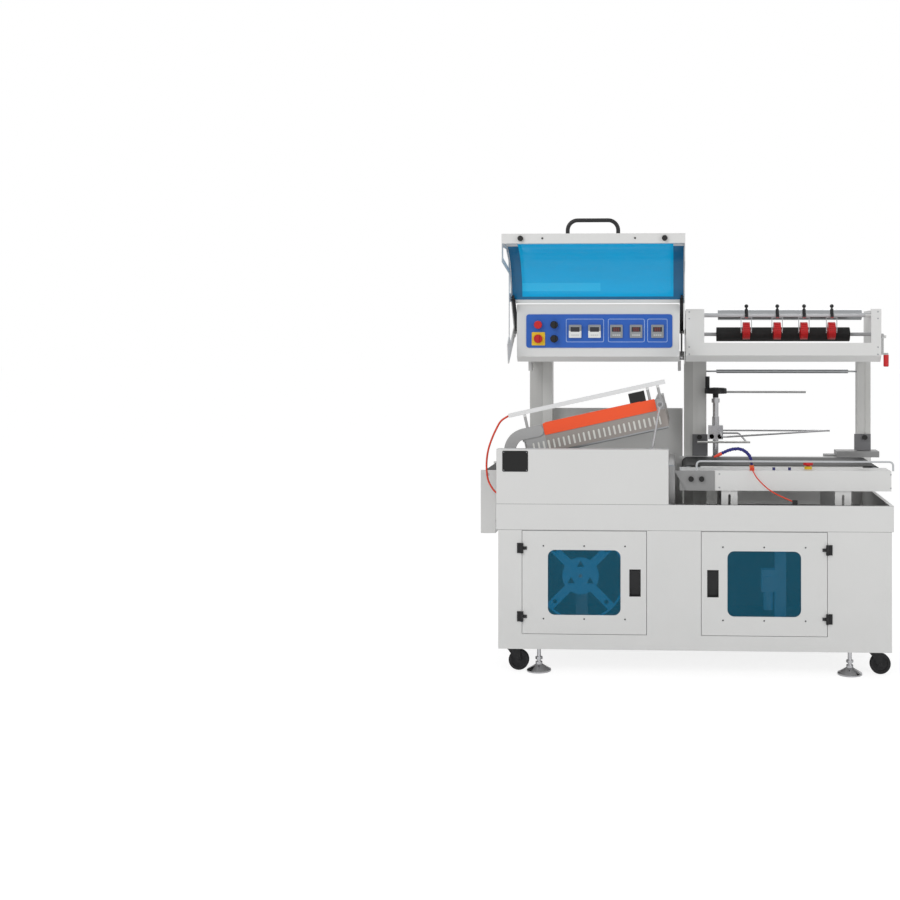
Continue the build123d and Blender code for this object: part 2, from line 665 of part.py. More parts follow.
ROLLER_STUB = SIDE_CLEARANCE + FRAME_PLATE
for name, centre in zip(("infeed_drive_roller", "infeed_tail_roller"), ROLLER_CENTRES):
    build_roller(
        name,
        centre,
        INFEED_BELT_FRONT_Y + 1,
        INFEED_BELT_WIDTH - 2,
        ROLLER_RADIUS,
        ROLLER_SHAFT_RADIUS,
        ROLLER_STUB + 1,
    )


def belt_loop(centres, radius, y, width):
    """An endless belt round two rollers, clear of both."""
    (x0, z0), (x1, _) = centres
    inner = radius + GAP
    with BuildSketch(front_plane(y)) as loop:
        with Locations(((x0 + x1) / 2, z0)):
            SlotCenterToCenter(x1 - x0, 2 * (inner + BELT_THICKNESS))
            SlotCenterToCenter(x1 - x0, 2 * inner, mode=Mode.SUBTRACT)
    extrude(loop.sketch, amount=-width)


# Exit conveyor under the sealing arm: it reaches out past the left end of the cabinet
EXIT_ROLLER_Z = EXIT_BELT_TOP_Z - BELT_THICKNESS - EXIT_ROLLER_RADIUS
EXIT_CENTRES = [
    (EXIT_LEFT_X + 30.0, EXIT_ROLLER_Z),
    (EXIT_RIGHT_X - 30.0, EXIT_ROLLER_Z),
]
EXIT_BELT_FRONT_Y = EXIT_FRONT_Y + FRAME_PLATE + SIDE_CLEARANCE
EXIT_PLATE_REAR_Y = EXIT_BELT_FRONT_Y + EXIT_BELT_WIDTH + SIDE_CLEARANCE
EXIT_APRON_BOTTOM_Z = 533.0
EXIT_APRON_WIDTH = 63.0
EXIT_PLATE_BOTTOM_Z = TRAY_TOP_Z + 10.0
EXIT_PLATE_TOP_Z = EXIT_BELT_TOP_Z - BELT_THICKNESS
with BuildPart() as exit_frame:
    for y in (EXIT_FRONT_Y, EXIT_PLATE_REAR_Y):
        plate(
            front_plane(y),
            [
                (EXIT_LEFT_X, EXIT_APRON_BOTTOM_Z),
                (EXIT_LEFT_X + EXIT_APRON_WIDTH, EXIT_APRON_BOTTOM_Z),
                (EXIT_LEFT_X + EXIT_APRON_WIDTH, EXIT_PLATE_BOTTOM_Z),
                (EXIT_RIGHT_X, EXIT_PLATE_BOTTOM_Z),
                (EXIT_RIGHT_X, EXIT_PLATE_TOP_Z),
                (EXIT_LEFT_X, EXIT_PLATE_TOP_Z),
            ],
            -FRAME_PLATE,
        )
        shaft_holes(front_plane(y), -FRAME_PLATE, EXIT_CENTRES, ROLLER_SHAFT_RADIUS)
    block(
        (EXIT_CENTRES[0][0] + 60, EXIT_CENTRES[1][0] - 60),
        (EXIT_FRONT_Y, EXIT_PLATE_REAR_Y + FRAME_PLATE),
        (EXIT_ROLLER_Z - 4, EXIT_ROLLER_Z + 4),
    )
    block(
        (EXIT_LEFT_X, EXIT_LEFT_X + EXIT_APRON_WIDTH),
        (EXIT_FRONT_Y, EXIT_PLATE_REAR_Y + FRAME_PLATE),
        (EXIT_APRON_BOTTOM_Z, EXIT_APRON_BOTTOM_Z + FRAME_PLATE),
    )
    for x in (-700.0, EXIT_RIGHT_X - 80.0):
        for y in (EXIT_FRONT_Y + FRAME_PLATE, EXIT_PLATE_REAR_Y - FRAME_PLATE):
            block((x, x + 50), (y, y + FRAME_PLATE), (TRAY_FLOOR_Z, EXIT_PLATE_BOTTOM_Z + 30))
keep(exit_frame.part, "exit_frame")

for name, centre in zip(("exit_tail_roller", "exit_drive_roller"), EXIT_CENTRES):
    build_roller(
        name,
        centre,
        EXIT_BELT_FRONT_Y + 1,
        EXIT_BELT_WIDTH - 2,
        EXIT_ROLLER_RADIUS,
        ROLLER_SHAFT_RADIUS,
        ROLLER_STUB + 1,
    )

with BuildPart() as conveyor_belts:
    belt_loop(ROLLER_CENTRES, ROLLER_RADIUS, INFEED_BELT_FRONT_Y, INFEED_BELT_WIDTH)
    belt_loop(EXIT_CENTRES, EXIT_ROLLER_RADIUS, EXIT_BELT_FRONT_Y, EXIT_BELT_WIDTH)
keep(conveyor_belts.part, "conveyor_belts")

# Lower jaw: L-shaped beam with a rubber seat, and the clevis of the sealing arm
ARM_PIVOT_X = -744.0
ARM_PIVOT_Z = 800.0
ARM_OPEN_DEG = 12.5
ARM_FRONT_Y = -228.0
ARM_DEPTH = 28.0
SEAL_LINE_Z = 840.0
JAW_HEIGHT = 40.0
JAW_WIDTH = 24.0
JAW_LEFT_X = -690.0
CROSS_LEFT_X = -62.0
CROSS_WIDTH = 30.0
CROSS_REAR_Y = 272.0
JAW_LEG = 40.0
PIVOT_RADIUS = 12.0
EAR_RADIUS = 22.0
EAR_THICKNESS = 12.0
JAW_BASE = 5.0
CYLINDER_PIVOT_X = -172.0
CYLINDER_PIVOT_Z = 640.0
CYLINDER_EAR = 6.0
CYLINDER_CLEVIS = 5.0
PULL_ROD_Y = -252.0
PULL_PIN_RADIUS = 6.0
ROD_END_RADIUS = 13.0
ARM_REAR_Y = ARM_FRONT_Y + ARM_DEPTH
CROSS_RIGHT_X = CROSS_LEFT_X + CROSS_WIDTH
JAW_FRONT_Y = ARM_FRONT_Y + (ARM_DEPTH - JAW_WIDTH) / 2
JAW_BOTTOM_Z = SEAL_LINE_Z - JAW_HEIGHT
with BuildPart() as lower_jaw:
    block((JAW_LEFT_X, CROSS_RIGHT_X), (JAW_FRONT_Y, JAW_FRONT_Y + JAW_WIDTH), (JAW_BOTTOM_Z, SEAL_LINE_Z))
    block((CROSS_LEFT_X, CROSS_RIGHT_X), (JAW_FRONT_Y, CROSS_REAR_Y), (JAW_BOTTOM_Z, SEAL_LINE_Z))
    chamfer(lower_jaw.edges().group_by(Axis.Z)[-1], 4)
    for x in (JAW_LEFT_X, CROSS_RIGHT_X - JAW_LEG):
        block((x, x + JAW_LEG), (JAW_FRONT_Y, JAW_FRONT_Y + JAW_WIDTH), (TRAY_FLOOR_Z, JAW_BOTTOM_Z))
    block(
        (CROSS_LEFT_X, CROSS_RIGHT_X),
        (CROSS_REAR_Y - JAW_LEG, CROSS_REAR_Y),
        (TRAY_FLOOR_Z, JAW_BOTTOM_Z),
    )
    for y in (ARM_FRONT_Y - 1 - EAR_THICKNESS, ARM_REAR_Y + 1):
        block(
            (ARM_PIVOT_X + 1, ARM_PIVOT_X + EAR_RADIUS),
            (y, y + EAR_THICKNESS),
            (TRAY_FLOOR_Z, ARM_PIVOT_Z),
        )
        disc(front_plane(y), (ARM_PIVOT_X, ARM_PIVOT_Z), EAR_RADIUS, -EAR_THICKNESS)
    disc(
        front_plane(ARM_FRONT_Y - 1 - EAR_THICKNESS),
        (ARM_PIVOT_X, ARM_PIVOT_Z),
        PIVOT_RADIUS,
        -ARM_DEPTH - 2 - 2 * EAR_THICKNESS,
    )
    block(
        (ARM_PIVOT_X + 1, CROSS_RIGHT_X),
        (PULL_ROD_Y - CYLINDER_EAR - 1 - CYLINDER_CLEVIS, ARM_REAR_Y + 1 + EAR_THICKNESS),
        (TRAY_FLOOR_Z, TRAY_FLOOR_Z + JAW_BASE),
    )
    for y in (PULL_ROD_Y - CYLINDER_EAR - 1 - CYLINDER_CLEVIS, PULL_ROD_Y + CYLINDER_EAR + 1):
        block(
            (CYLINDER_PIVOT_X - ROD_END_RADIUS, CYLINDER_PIVOT_X + ROD_END_RADIUS),
            (y, y + CYLINDER_CLEVIS),
            (TRAY_FLOOR_Z, CYLINDER_PIVOT_Z + ROD_END_RADIUS),
        )
    disc(
        front_plane(PULL_ROD_Y - CYLINDER_EAR - 1 - CYLINDER_CLEVIS),
        (CYLINDER_PIVOT_X, CYLINDER_PIVOT_Z),
        PULL_PIN_RADIUS,
        -2 * (CYLINDER_EAR + 1 + CYLINDER_CLEVIS),
    )
keep(lower_jaw.part, "lower_jaw")

# Sealing arm, drawn with the arm closed and then raised about its pivot
ELBOW_WIDTH = 46.0
ELBOW_INNER_RADIUS = 48.0
ELBOW_CENTRE = (-633.0, 874.0)
ELBOW_END_X = -567.0
ARM_TOP_Z = 968.0
BEAM_BOTTOM_Z = 912.0
BEAM_LEFT_X = -640.0
BEAM_SETBACK = 6.0
CHANNEL_SIZE = 18.0
CHANNEL_LEFT_X = -676.0
CHANNEL_RIGHT_X = -6.0
CHANNEL_TOP_Z = 1042.0
CHANNEL_WALL = 1.5
ARM_POST_RADIUS = 6.0
ARM_POST_X = (-610.0, -84.0, -40.0)
SWITCH_BLOCK = ((-167.0, -100.0), (978.0, 1016.0))
BAR_HEIGHT = 16.0
BAR_WIDTH = 12.0
HANGER_RADIUS = 4.0
HANGER_PITCH = 110.0
HANGER_COUNT = 6
PULL_PIN_X = -46.0
PULL_PIN_Z = 946.0
EYE_HALF = 6.0
ARM_AXIS = Axis((ARM_PIVOT_X, 0, ARM_PIVOT_Z), (0, 1, 0))
BEAM_Y = (ARM_FRONT_Y + BEAM_SETBACK, ARM_REAR_Y)
BAR_Y = (JAW_FRONT_Y + BEAM_SETBACK, JAW_FRONT_Y + BEAM_SETBACK + BAR_WIDTH)
BAR_BOTTOM_Z = SEAL_LINE_Z + GAP
GUARD_THICKNESS = 2.0
ELBOW_OUTER_RADIUS = ELBOW_INNER_RADIUS + ELBOW_WIDTH


def raise_arm(part):
    return part.rotate(ARM_AXIS, -ARM_OPEN_DEG)


with BuildPart() as seal_arm:
    with BuildSketch(front_plane(ARM_FRONT_Y)) as elbow:
        with BuildLine():
            outer = CenterArc(ELBOW_CENTRE, ELBOW_OUTER_RADIUS, 90, 90)
            inner = CenterArc(ELBOW_CENTRE, ELBOW_INNER_RADIUS, 90, 90)
            Polyline(
                outer @ 0,
                (ELBOW_END_X, ARM_TOP_Z),
                (ELBOW_END_X, ARM_TOP_Z - ELBOW_WIDTH),
                inner @ 0,
            )
            Polyline(
                outer @ 1,
                (ARM_PIVOT_X - EAR_RADIUS, ARM_PIVOT_Z),
                (ARM_PIVOT_X + EAR_RADIUS, ARM_PIVOT_Z),
                inner @ 1,
            )
        make_face()
        with Locations((ARM_PIVOT_X, ARM_PIVOT_Z)):
            Circle(EAR_RADIUS)
            Circle(PIVOT_RADIUS + FIT, mode=Mode.SUBTRACT)
        with Locations((ELBOW_END_X, ARM_TOP_Z - ELBOW_WIDTH / 2)):
            Circle(ELBOW_WIDTH / 2)
    extrude(elbow.sketch, amount=-ARM_DEPTH)
    block((BEAM_LEFT_X, CROSS_RIGHT_X), BEAM_Y, (BEAM_BOTTOM_Z, ARM_TOP_Z))
    block((CROSS_LEFT_X, CROSS_RIGHT_X), (ARM_REAR_Y, CROSS_REAR_Y), (BEAM_BOTTOM_Z, ARM_TOP_Z))
    block(
        (CHANNEL_LEFT_X, CHANNEL_RIGHT_X),
        (ARM_FRONT_Y + BEAM_SETBACK, ARM_FRONT_Y + BEAM_SETBACK + CHANNEL_SIZE),
        (CHANNEL_TOP_Z - CHANNEL_SIZE, CHANNEL_TOP_Z),
    )
    block(
        (CHANNEL_LEFT_X, CHANNEL_RIGHT_X),
        (
            ARM_FRONT_Y + BEAM_SETBACK + CHANNEL_WALL,
            ARM_FRONT_Y + BEAM_SETBACK + CHANNEL_SIZE - CHANNEL_WALL,
        ),
        (CHANNEL_TOP_Z - CHANNEL_SIZE + CHANNEL_WALL, CHANNEL_TOP_Z - CHANNEL_WALL),
        Mode.SUBTRACT,
    )
    for x in ARM_POST_X:
        disc(
            Plane.XY.offset(ARM_TOP_Z),
            (x, ARM_FRONT_Y + BEAM_SETBACK + CHANNEL_SIZE / 2),
            ARM_POST_RADIUS,
            CHANNEL_TOP_Z - CHANNEL_SIZE - ARM_TOP_Z,
        )
    block(SWITCH_BLOCK[0], BEAM_Y, (ARM_TOP_Z, SWITCH_BLOCK[1][1]))
    for number in range(HANGER_COUNT):
        disc(
            Plane.XY.offset(BAR_BOTTOM_Z + BAR_HEIGHT),
            (CROSS_LEFT_X - 20 - number * HANGER_PITCH, (BAR_Y[0] + BAR_Y[1]) / 2),
            HANGER_RADIUS,
            BEAM_BOTTOM_Z - BAR_BOTTOM_Z - BAR_HEIGHT,
        )
    for y in (ARM_REAR_Y + 80, CROSS_REAR_Y - 60):
        disc(
            Plane.XY.offset(BAR_BOTTOM_Z + BAR_HEIGHT),
            (CROSS_LEFT_X + CROSS_WIDTH / 2, y),
            HANGER_RADIUS,
            BEAM_BOTTOM_Z - BAR_BOTTOM_Z - BAR_HEIGHT,
        )
    disc(
        front_plane(BEAM_Y[0]),
        (PULL_PIN_X, PULL_PIN_Z),
        PULL_PIN_RADIUS,
        BEAM_Y[0] - PULL_ROD_Y - 8,
    )

with BuildPart() as seal_bar:
    block((BEAM_LEFT_X, CROSS_RIGHT_X), BAR_Y, (BAR_BOTTOM_Z, BAR_BOTTOM_Z + BAR_HEIGHT))
    block(
        (CROSS_LEFT_X + (CROSS_WIDTH - BAR_WIDTH) / 2, CROSS_RIGHT_X - (CROSS_WIDTH - BAR_WIDTH) / 2),
        (BAR_Y[1], CROSS_REAR_Y),
        (BAR_BOTTOM_Z, BAR_BOTTOM_Z + BAR_HEIGHT),
    )
    chamfer(seal_bar.edges().group_by(Axis.Z)[0], 3)
keep(raise_arm(seal_bar.part), "seal_bar")

# Slotted sheet in front of the sealing bar, and the orange guard strip above it
SLOT_WIDTH = 9.0
SLOT_HEIGHT = 38.0
SLOT_PITCH = 21.5
SLOT_COUNT = 26
SLOT_CENTRE_Z = 881.0
COMB_LEFT_X = -628.0
COMB_RIGHT_X = -32.0
COMB_BOTTOM_Z = 850.0
COMB_TOP_Z = 921.5
CROSS_SLOT_COUNT = 20
GUARD_STRIP_LEFT_X = -543.0
GUARD_STRIP_RIGHT_X = -64.0
GUARD_STRIP_Z = (922.0, 972.0)
COMB_Y = BEAM_Y[0] - GUARD_THICKNESS
with BuildPart() as comb_plate:
    block((COMB_LEFT_X, COMB_RIGHT_X), (COMB_Y, BEAM_Y[0]), (COMB_BOTTOM_Z, COMB_TOP_Z))
    slot_middle = (COMB_LEFT_X + COMB_RIGHT_X) / 2
    with BuildSketch(front_plane(COMB_Y)) as slots:
        with Locations((slot_middle, SLOT_CENTRE_Z)):
            with GridLocations(SLOT_PITCH, SLOT_HEIGHT, SLOT_COUNT, 1):
                SlotOverall(SLOT_HEIGHT, SLOT_WIDTH, rotation=90)
    extrude(slots.sketch, amount=-GUARD_THICKNESS, mode=Mode.SUBTRACT)
    block(
        (COMB_RIGHT_X, COMB_RIGHT_X + GUARD_THICKNESS),
        (COMB_Y, CROSS_REAR_Y),
        (COMB_BOTTOM_Z, COMB_TOP_Z),
    )
    cross_middle = (ARM_FRONT_Y + CROSS_REAR_Y) / 2
    with BuildSketch(side_plane(COMB_RIGHT_X)) as slots:
        with Locations((cross_middle, SLOT_CENTRE_Z)):
            with GridLocations(SLOT_PITCH, SLOT_HEIGHT, CROSS_SLOT_COUNT, 1):
                SlotOverall(SLOT_HEIGHT, SLOT_WIDTH, rotation=90)
    extrude(slots.sketch, amount=GUARD_THICKNESS, mode=Mode.SUBTRACT)
keep(Compound(children=[raise_arm(seal_arm.part), raise_arm(comb_plate.part)]), "seal_arm")

with BuildPart() as seal_guard:
    rounded_cut(
        front_plane(COMB_Y - GUARD_THICKNESS),
        ((GUARD_STRIP_LEFT_X + GUARD_STRIP_RIGHT_X) / 2, sum(GUARD_STRIP_Z) / 2),
        (GUARD_STRIP_RIGHT_X - GUARD_STRIP_LEFT_X, GUARD_STRIP_Z[1] - GUARD_STRIP_Z[0]),
        5,
        -GUARD_THICKNESS,
        Mode.ADD,
    )
    block(
        (GUARD_STRIP_LEFT_X + 10, GUARD_STRIP_RIGHT_X - 60),
        (COMB_Y - GUARD_THICKNESS, ARM_FRONT_Y + BEAM_SETBACK + CHANNEL_SIZE),
        (GUARD_STRIP_Z[1], GUARD_STRIP_Z[1] + GUARD_THICKNESS),
    )
    block(
        (SWITCH_BLOCK[0][0] - 1, GUARD_STRIP_RIGHT_X),
        (COMB_Y, ARM_REAR_Y),
        (GUARD_STRIP_Z[1], GUARD_STRIP_Z[1] + GUARD_THICKNESS),
        Mode.SUBTRACT,
    )
keep(raise_arm(seal_guard.part), "seal_guard")

# Air cylinder and pull rod at the free end of the arm
CYLINDER_RADIUS = 16.0
CYLINDER_LENGTH = 190.0
CYLINDER_BORE = 12.0
CYLINDER_END = 14.0  # head that guides the rod
CYLINDER_FLOOR = 6.0  # clear of the piston when the arm is closed
PULL_ROD_RADIUS = 5.0
ROD_END_BORE = PULL_PIN_RADIUS + 4.0
CYLINDER_START = 24.0
NECK_RADIUS = 5.0
PISTON_HEIGHT = 10.0


def turned(point, angle):
    """A point of the closed arm after the arm turns by the angle."""
    dx = point[0] - ARM_PIVOT_X
    dz = point[1] - ARM_PIVOT_Z
    a = radians(angle)
    return (ARM_PIVOT_X + dx * cos(a) + dz * sin(a), ARM_PIVOT_Z - dx * sin(a) + dz * cos(a))


PULL_TOP = turned((PULL_PIN_X, PULL_PIN_Z), -ARM_OPEN_DEG)
PULL_LENGTH = hypot(PULL_TOP[0] - CYLINDER_PIVOT_X, PULL_TOP[1] - CYLINDER_PIVOT_Z)
PULL_DIRECTION = Vector(
    (PULL_TOP[0] - CYLINDER_PIVOT_X) / PULL_LENGTH, 0, (PULL_TOP[1] - CYLINDER_PIVOT_Z) / PULL_LENGTH
)
PULL_BASE = Vector(CYLINDER_PIVOT_X, PULL_ROD_Y, CYLINDER_PIVOT_Z)


def pull_plane(distance):
    return Plane(
        origin=PULL_BASE + PULL_DIRECTION * distance, x_dir=(0, 1, 0), z_dir=PULL_DIRECTION
    )


with BuildPart() as seal_cylinder:
    disc(
        pull_plane(CYLINDER_START),
        (0, 0),
        CYLINDER_RADIUS,
        CYLINDER_LENGTH + CYLINDER_END - CYLINDER_START,
    )
    disc(pull_plane(0), (0, 0), NECK_RADIUS, CYLINDER_START + 1)
    disc(
        pull_plane(CYLINDER_START + CYLINDER_FLOOR),
        (0, 0),
        CYLINDER_BORE,
        CYLINDER_LENGTH - CYLINDER_START - CYLINDER_FLOOR,
        Mode.SUBTRACT,
    )
    disc(
        pull_plane(CYLINDER_LENGTH), (0, 0), PULL_ROD_RADIUS + FIT, 2 * CYLINDER_END, Mode.SUBTRACT
    )
    disc(
        front_plane(PULL_ROD_Y - CYLINDER_EAR),
        (CYLINDER_PIVOT_X, CYLINDER_PIVOT_Z),
        ROD_END_RADIUS + 3,
        -2 * CYLINDER_EAR,
    )
    disc(
        front_plane(PULL_ROD_Y - CYLINDER_EAR),
        (CYLINDER_PIVOT_X, CYLINDER_PIVOT_Z),
        PULL_PIN_RADIUS + FIT,
        -2 * CYLINDER_EAR,
        Mode.SUBTRACT,
    )
keep(seal_cylinder.part, "seal_cylinder")

with BuildPart() as pull_rod:
    disc(
        pull_plane(CYLINDER_LENGTH - 2 * CYLINDER_END),
        (0, 0),
        PULL_ROD_RADIUS,
        PULL_LENGTH - CYLINDER_LENGTH + 2 * CYLINDER_END - ROD_END_RADIUS + 2,
    )
    disc(
        pull_plane(CYLINDER_LENGTH - 2 * CYLINDER_END),
        (0, 0),
        CYLINDER_BORE - GAP,
        PISTON_HEIGHT,
    )
    disc(front_plane(PULL_ROD_Y - EYE_HALF), PULL_TOP, ROD_END_RADIUS, -2 * EYE_HALF)
    disc(front_plane(PULL_ROD_Y - EYE_HALF), PULL_TOP, ROD_END_BORE, -2 * EYE_HALF, Mode.SUBTRACT)
keep(pull_rod.part, "pull_rod")

# Posts behind the conveyors, tied by a rear beam, with dark clamps and the slide base
POST_Y = (265.0, 325.0)
POST_TOP_Z = 1268.0
LEFT_POST_X = (-697.5, -595.0)
MIDDLE_POST_X = (8.0, 110.0)
RIGHT_POST_X = (792.0, 852.0)
POST_GROOVE = 3.0
POST_GROOVE_DEPTH = 2.0
POST_SPLIT = 0.55
BEAM_FRONT_Y = 307.0
BEAM_RIGHT_X = 830.0
BEAM_HEIGHT = 40.0
SLIDE_X = (695.0, 885.0)
SLIDE_Z = (832.0, 859.0)
SLIDE_FRONT_Y = 226.0
SLIDE_STEP_X = (645.0, 713.0)
SLIDE_STEP_Z = (814.0, 840.0)
SLIDE_STEP_Y = 263.0
IDLER = (292.0, 1217.0)
IDLER_SHAFT_RADIUS = 4.0
IDLER_SOCKET = 12.0
UPPER_ROD = (300.0, 1122.0)
UPPER_ROD_RADIUS = 5.0
UPPER_ROD_END_X = 564.0
CLAMP_THICKNESS = 6.0
MIDDLE_CLAMP = ((46.0, 116.0), (833.0, 931.0))
RIGHT_CLAMP = ((778.0, 852.0), (861.0, 935.0))
CLAMP_KNOB_RADIUS = 11.0
CLAMP_KNOB_PROUD = 14.0
CLAMP_KNOBS = ((78.0, 919.0), (824.5, 920.0))
with BuildPart() as posts:
    for x_range, low in (
        (LEFT_POST_X, TRAY_FLOOR_Z),
        (MIDDLE_POST_X, TRAY_FLOOR_Z),
        (RIGHT_POST_X, SLIDE_Z[1]),
    ):
        block(x_range, POST_Y, (low, POST_TOP_Z))
        split = x_range[0] + POST_SPLIT * (x_range[1] - x_range[0])
        block(
            (split, split + POST_GROOVE),
            (POST_Y[0], POST_Y[0] + POST_GROOVE_DEPTH),
            (low, POST_TOP_Z),
            Mode.SUBTRACT,
        )
    block((LEFT_POST_X[0], BEAM_RIGHT_X), (BEAM_FRONT_Y, POST_Y[1]), (POST_TOP_Z, POST_TOP_Z + BEAM_HEIGHT))
    block(SLIDE_X, (SLIDE_FRONT_Y, POST_Y[1]), SLIDE_Z)
    block(SLIDE_STEP_X, (SLIDE_STEP_Y, POST_Y[1]), SLIDE_STEP_Z)
    for (x_range, z_range), (x, z) in zip((MIDDLE_CLAMP, RIGHT_CLAMP), CLAMP_KNOBS):
        front = POST_Y[0] - CLAMP_THICKNESS
        block(x_range, (front, POST_Y[0]), z_range)
        disc(front_plane(front), (x, z), CLAMP_KNOB_RADIUS, CLAMP_KNOB_PROUD)
    disc(
        side_plane(MIDDLE_POST_X[1] - IDLER_SOCKET - GAP),
        IDLER,
        IDLER_SHAFT_RADIUS + FIT,
        RIGHT_POST_X[0] - MIDDLE_POST_X[1] + 2 * (IDLER_SOCKET + GAP),
        Mode.SUBTRACT,
    )
    disc(
        side_plane(MIDDLE_POST_X[1]),
        UPPER_ROD,
        UPPER_ROD_RADIUS,
        UPPER_ROD_END_X - MIDDLE_POST_X[1],
    )
keep(posts.part, "posts")

# Control box with a chamfered front edge, hood pins and strut studs on both sides
BOX_CENTRE_X = -357.0
BOX_HALF_WIDTH = 344.0
BOX_FRONT_Y = -158.0
BOX_REAR_Y = BEAM_FRONT_Y
BOX_BOTTOM_Z = POST_TOP_Z
BOX_TOP_Z = 1511.0
BOX_CHAMFER = 22.0
HOOD_PIVOT = (-58.0, 1395.0)
HOOD_PIN_RADIUS = 8.0
HOOD_CAP_RADIUS = 13.0
HOOD_CAP = 3.0
HOOD_INNER_HALF = 364.1
HOOD_PLATE = 2.5
STRUT_BASE = (22.0, 1284.0)
STRUT_TOP = (-208.0, 1538.5)
STUD_HALF_REACH = 361.5
STRUT_STUD_RADIUS = 4.0
BRACKET_X = (-690.0, -20.0)
BRACKET_WIDTH = 14.0
BRACKET_DROP = 46.0
BRACKET_Y = (150.0, 200.0)
SWITCH_COLUMN_X = -609.0
SELECTOR_COLUMN_X = -541.0
UPPER_ROW_Z = 1424.0
LOWER_ROW_Z = 1365.0
BUTTON_HOLE = 11.0
CONTROL_SPOTS = [
    (x, z) for x in (SWITCH_COLUMN_X, SELECTOR_COLUMN_X) for z in (LOWER_ROW_Z, UPPER_ROW_Z)
]
with BuildPart() as control_box:
    half = BOX_HALF_WIDTH
    with BuildSketch(side_plane(BOX_CENTRE_X - half)) as section:
        with BuildLine():
            Polyline(
                (BOX_FRONT_Y, BOX_BOTTOM_Z + BOX_CHAMFER),
                (BOX_FRONT_Y, BOX_TOP_Z),
                (BOX_REAR_Y, BOX_TOP_Z),
                (BOX_REAR_Y, BOX_BOTTOM_Z),
                (BOX_FRONT_Y + BOX_CHAMFER, BOX_BOTTOM_Z),
                close=True,
            )
        make_face()
    extrude(section.sketch, amount=2 * half)
    block(
        (BOX_CENTRE_X - half + SHEET, BOX_CENTRE_X + half - SHEET),
        (BOX_FRONT_Y + BOX_CHAMFER + SHEET, BOX_REAR_Y - SHEET),
        (BOX_BOTTOM_Z + SHEET, BOX_TOP_Z - SHEET),
        Mode.SUBTRACT,
    )
    for side in (-1, 1):
        inner = BOX_CENTRE_X + side * half
        disc(
            side_plane(inner),
            HOOD_PIVOT,
            HOOD_PIN_RADIUS,
            side * (HOOD_INNER_HALF + HOOD_PLATE + GAP + HOOD_CAP - half),
        )
        disc(
            side_plane(BOX_CENTRE_X + side * (HOOD_INNER_HALF + HOOD_PLATE + GAP)),
            HOOD_PIVOT,
            HOOD_CAP_RADIUS,
            side * HOOD_CAP,
        )
        disc(side_plane(inner), STRUT_BASE, STRUT_STUD_RADIUS, side * (STUD_HALF_REACH - half))
    for x in BRACKET_X:
        block((x, x + BRACKET_WIDTH), BRACKET_Y, (BOX_BOTTOM_Z - BRACKET_DROP, BOX_BOTTOM_Z))
    for spot in CONTROL_SPOTS:
        disc(front_plane(BOX_FRONT_Y), spot, BUTTON_HOLE, -BOX_CHAMFER - SHEET, Mode.SUBTRACT)
    fillet(control_box.edges().filter_by(Axis.Y).group_by(Axis.Z)[-1], 4)
keep(control_box.part, "control_box")

# Blue front panel and the six instruments set into it
PANEL_X = (-661.0, -43.0)
PANEL_Z = (1327.0, 1468.6)
PANEL_RADIUS = 12.0
PANEL_THICKNESS = 3.0
INSTRUMENT_LEFT = (-479.0, -397.0, -305.0, -222.0, -132.0)
INSTRUMENT_WIDTH = 52.5
INSTRUMENT_Z = (1369.0, 1424.0)
TIMER_COUNT = 2
TIMER_PROUD = 14.0
CONTROLLER_PROUD = 8.0
FRAME_EDGE = 3.0
PANEL_FACE_Y = BOX_FRONT_Y - PANEL_THICKNESS
with BuildPart() as control_panel:
    rounded_cut(
        front_plane(PANEL_FACE_Y),
        (sum(PANEL_X) / 2, sum(PANEL_Z) / 2),
        (PANEL_X[1] - PANEL_X[0], PANEL_Z[1] - PANEL_Z[0]),
        PANEL_RADIUS,
        -PANEL_THICKNESS,
        Mode.ADD,
    )
    for spot in CONTROL_SPOTS:
        disc(front_plane(PANEL_FACE_Y), spot, BUTTON_HOLE, -PANEL_THICKNESS, Mode.SUBTRACT)

with BuildPart() as panel_instruments:
    for number, x in enumerate(INSTRUMENT_LEFT):
        proud = TIMER_PROUD if number < TIMER_COUNT else CONTROLLER_PROUD
        middle = (x + INSTRUMENT_WIDTH / 2, sum(INSTRUMENT_Z) / 2)
        size = (INSTRUMENT_WIDTH, INSTRUMENT_Z[1] - INSTRUMENT_Z[0])
        rounded_cut(front_plane(PANEL_FACE_Y), middle, size, 3, proud, Mode.ADD)
        rounded_cut(
            front_plane(PANEL_FACE_Y - proud),
            middle,
            (size[0] - 2 * FRAME_EDGE, size[1] - 2 * FRAME_EDGE),
            2,
            -1.5,
            Mode.SUBTRACT,
        )
keep(panel_instruments.part, "panel_instruments")

# Operating buttons and switches: each turns or slides on a fixed collar in the panel
COLLAR_HEIGHT = 6.0
STEM_LENGTH = 24.0
BUTTON_RADIUS = 17.0
BUTTON_HEIGHT = 11.0
BUTTON_TRAVEL = 5.0
KNOB_RADIUS = 16.0
KNOB_HEIGHT = 16.0
GRIP_WIDTH = 9.0
GRIP_HEIGHT = 8.0
MAIN_PLATE_HALF = 28.0
MAIN_PLATE_THICKNESS = 4.0
MAIN_KNOB_RADIUS = 18.0


def collar(x, y, z, radius, height):
    """A ring around a stem, standing toward the front from the plane at y."""
    disc(front_plane(y), (x, z), radius, height)
    disc(front_plane(y), (x, z), STEM_RADIUS + FIT, height, Mode.SUBTRACT)


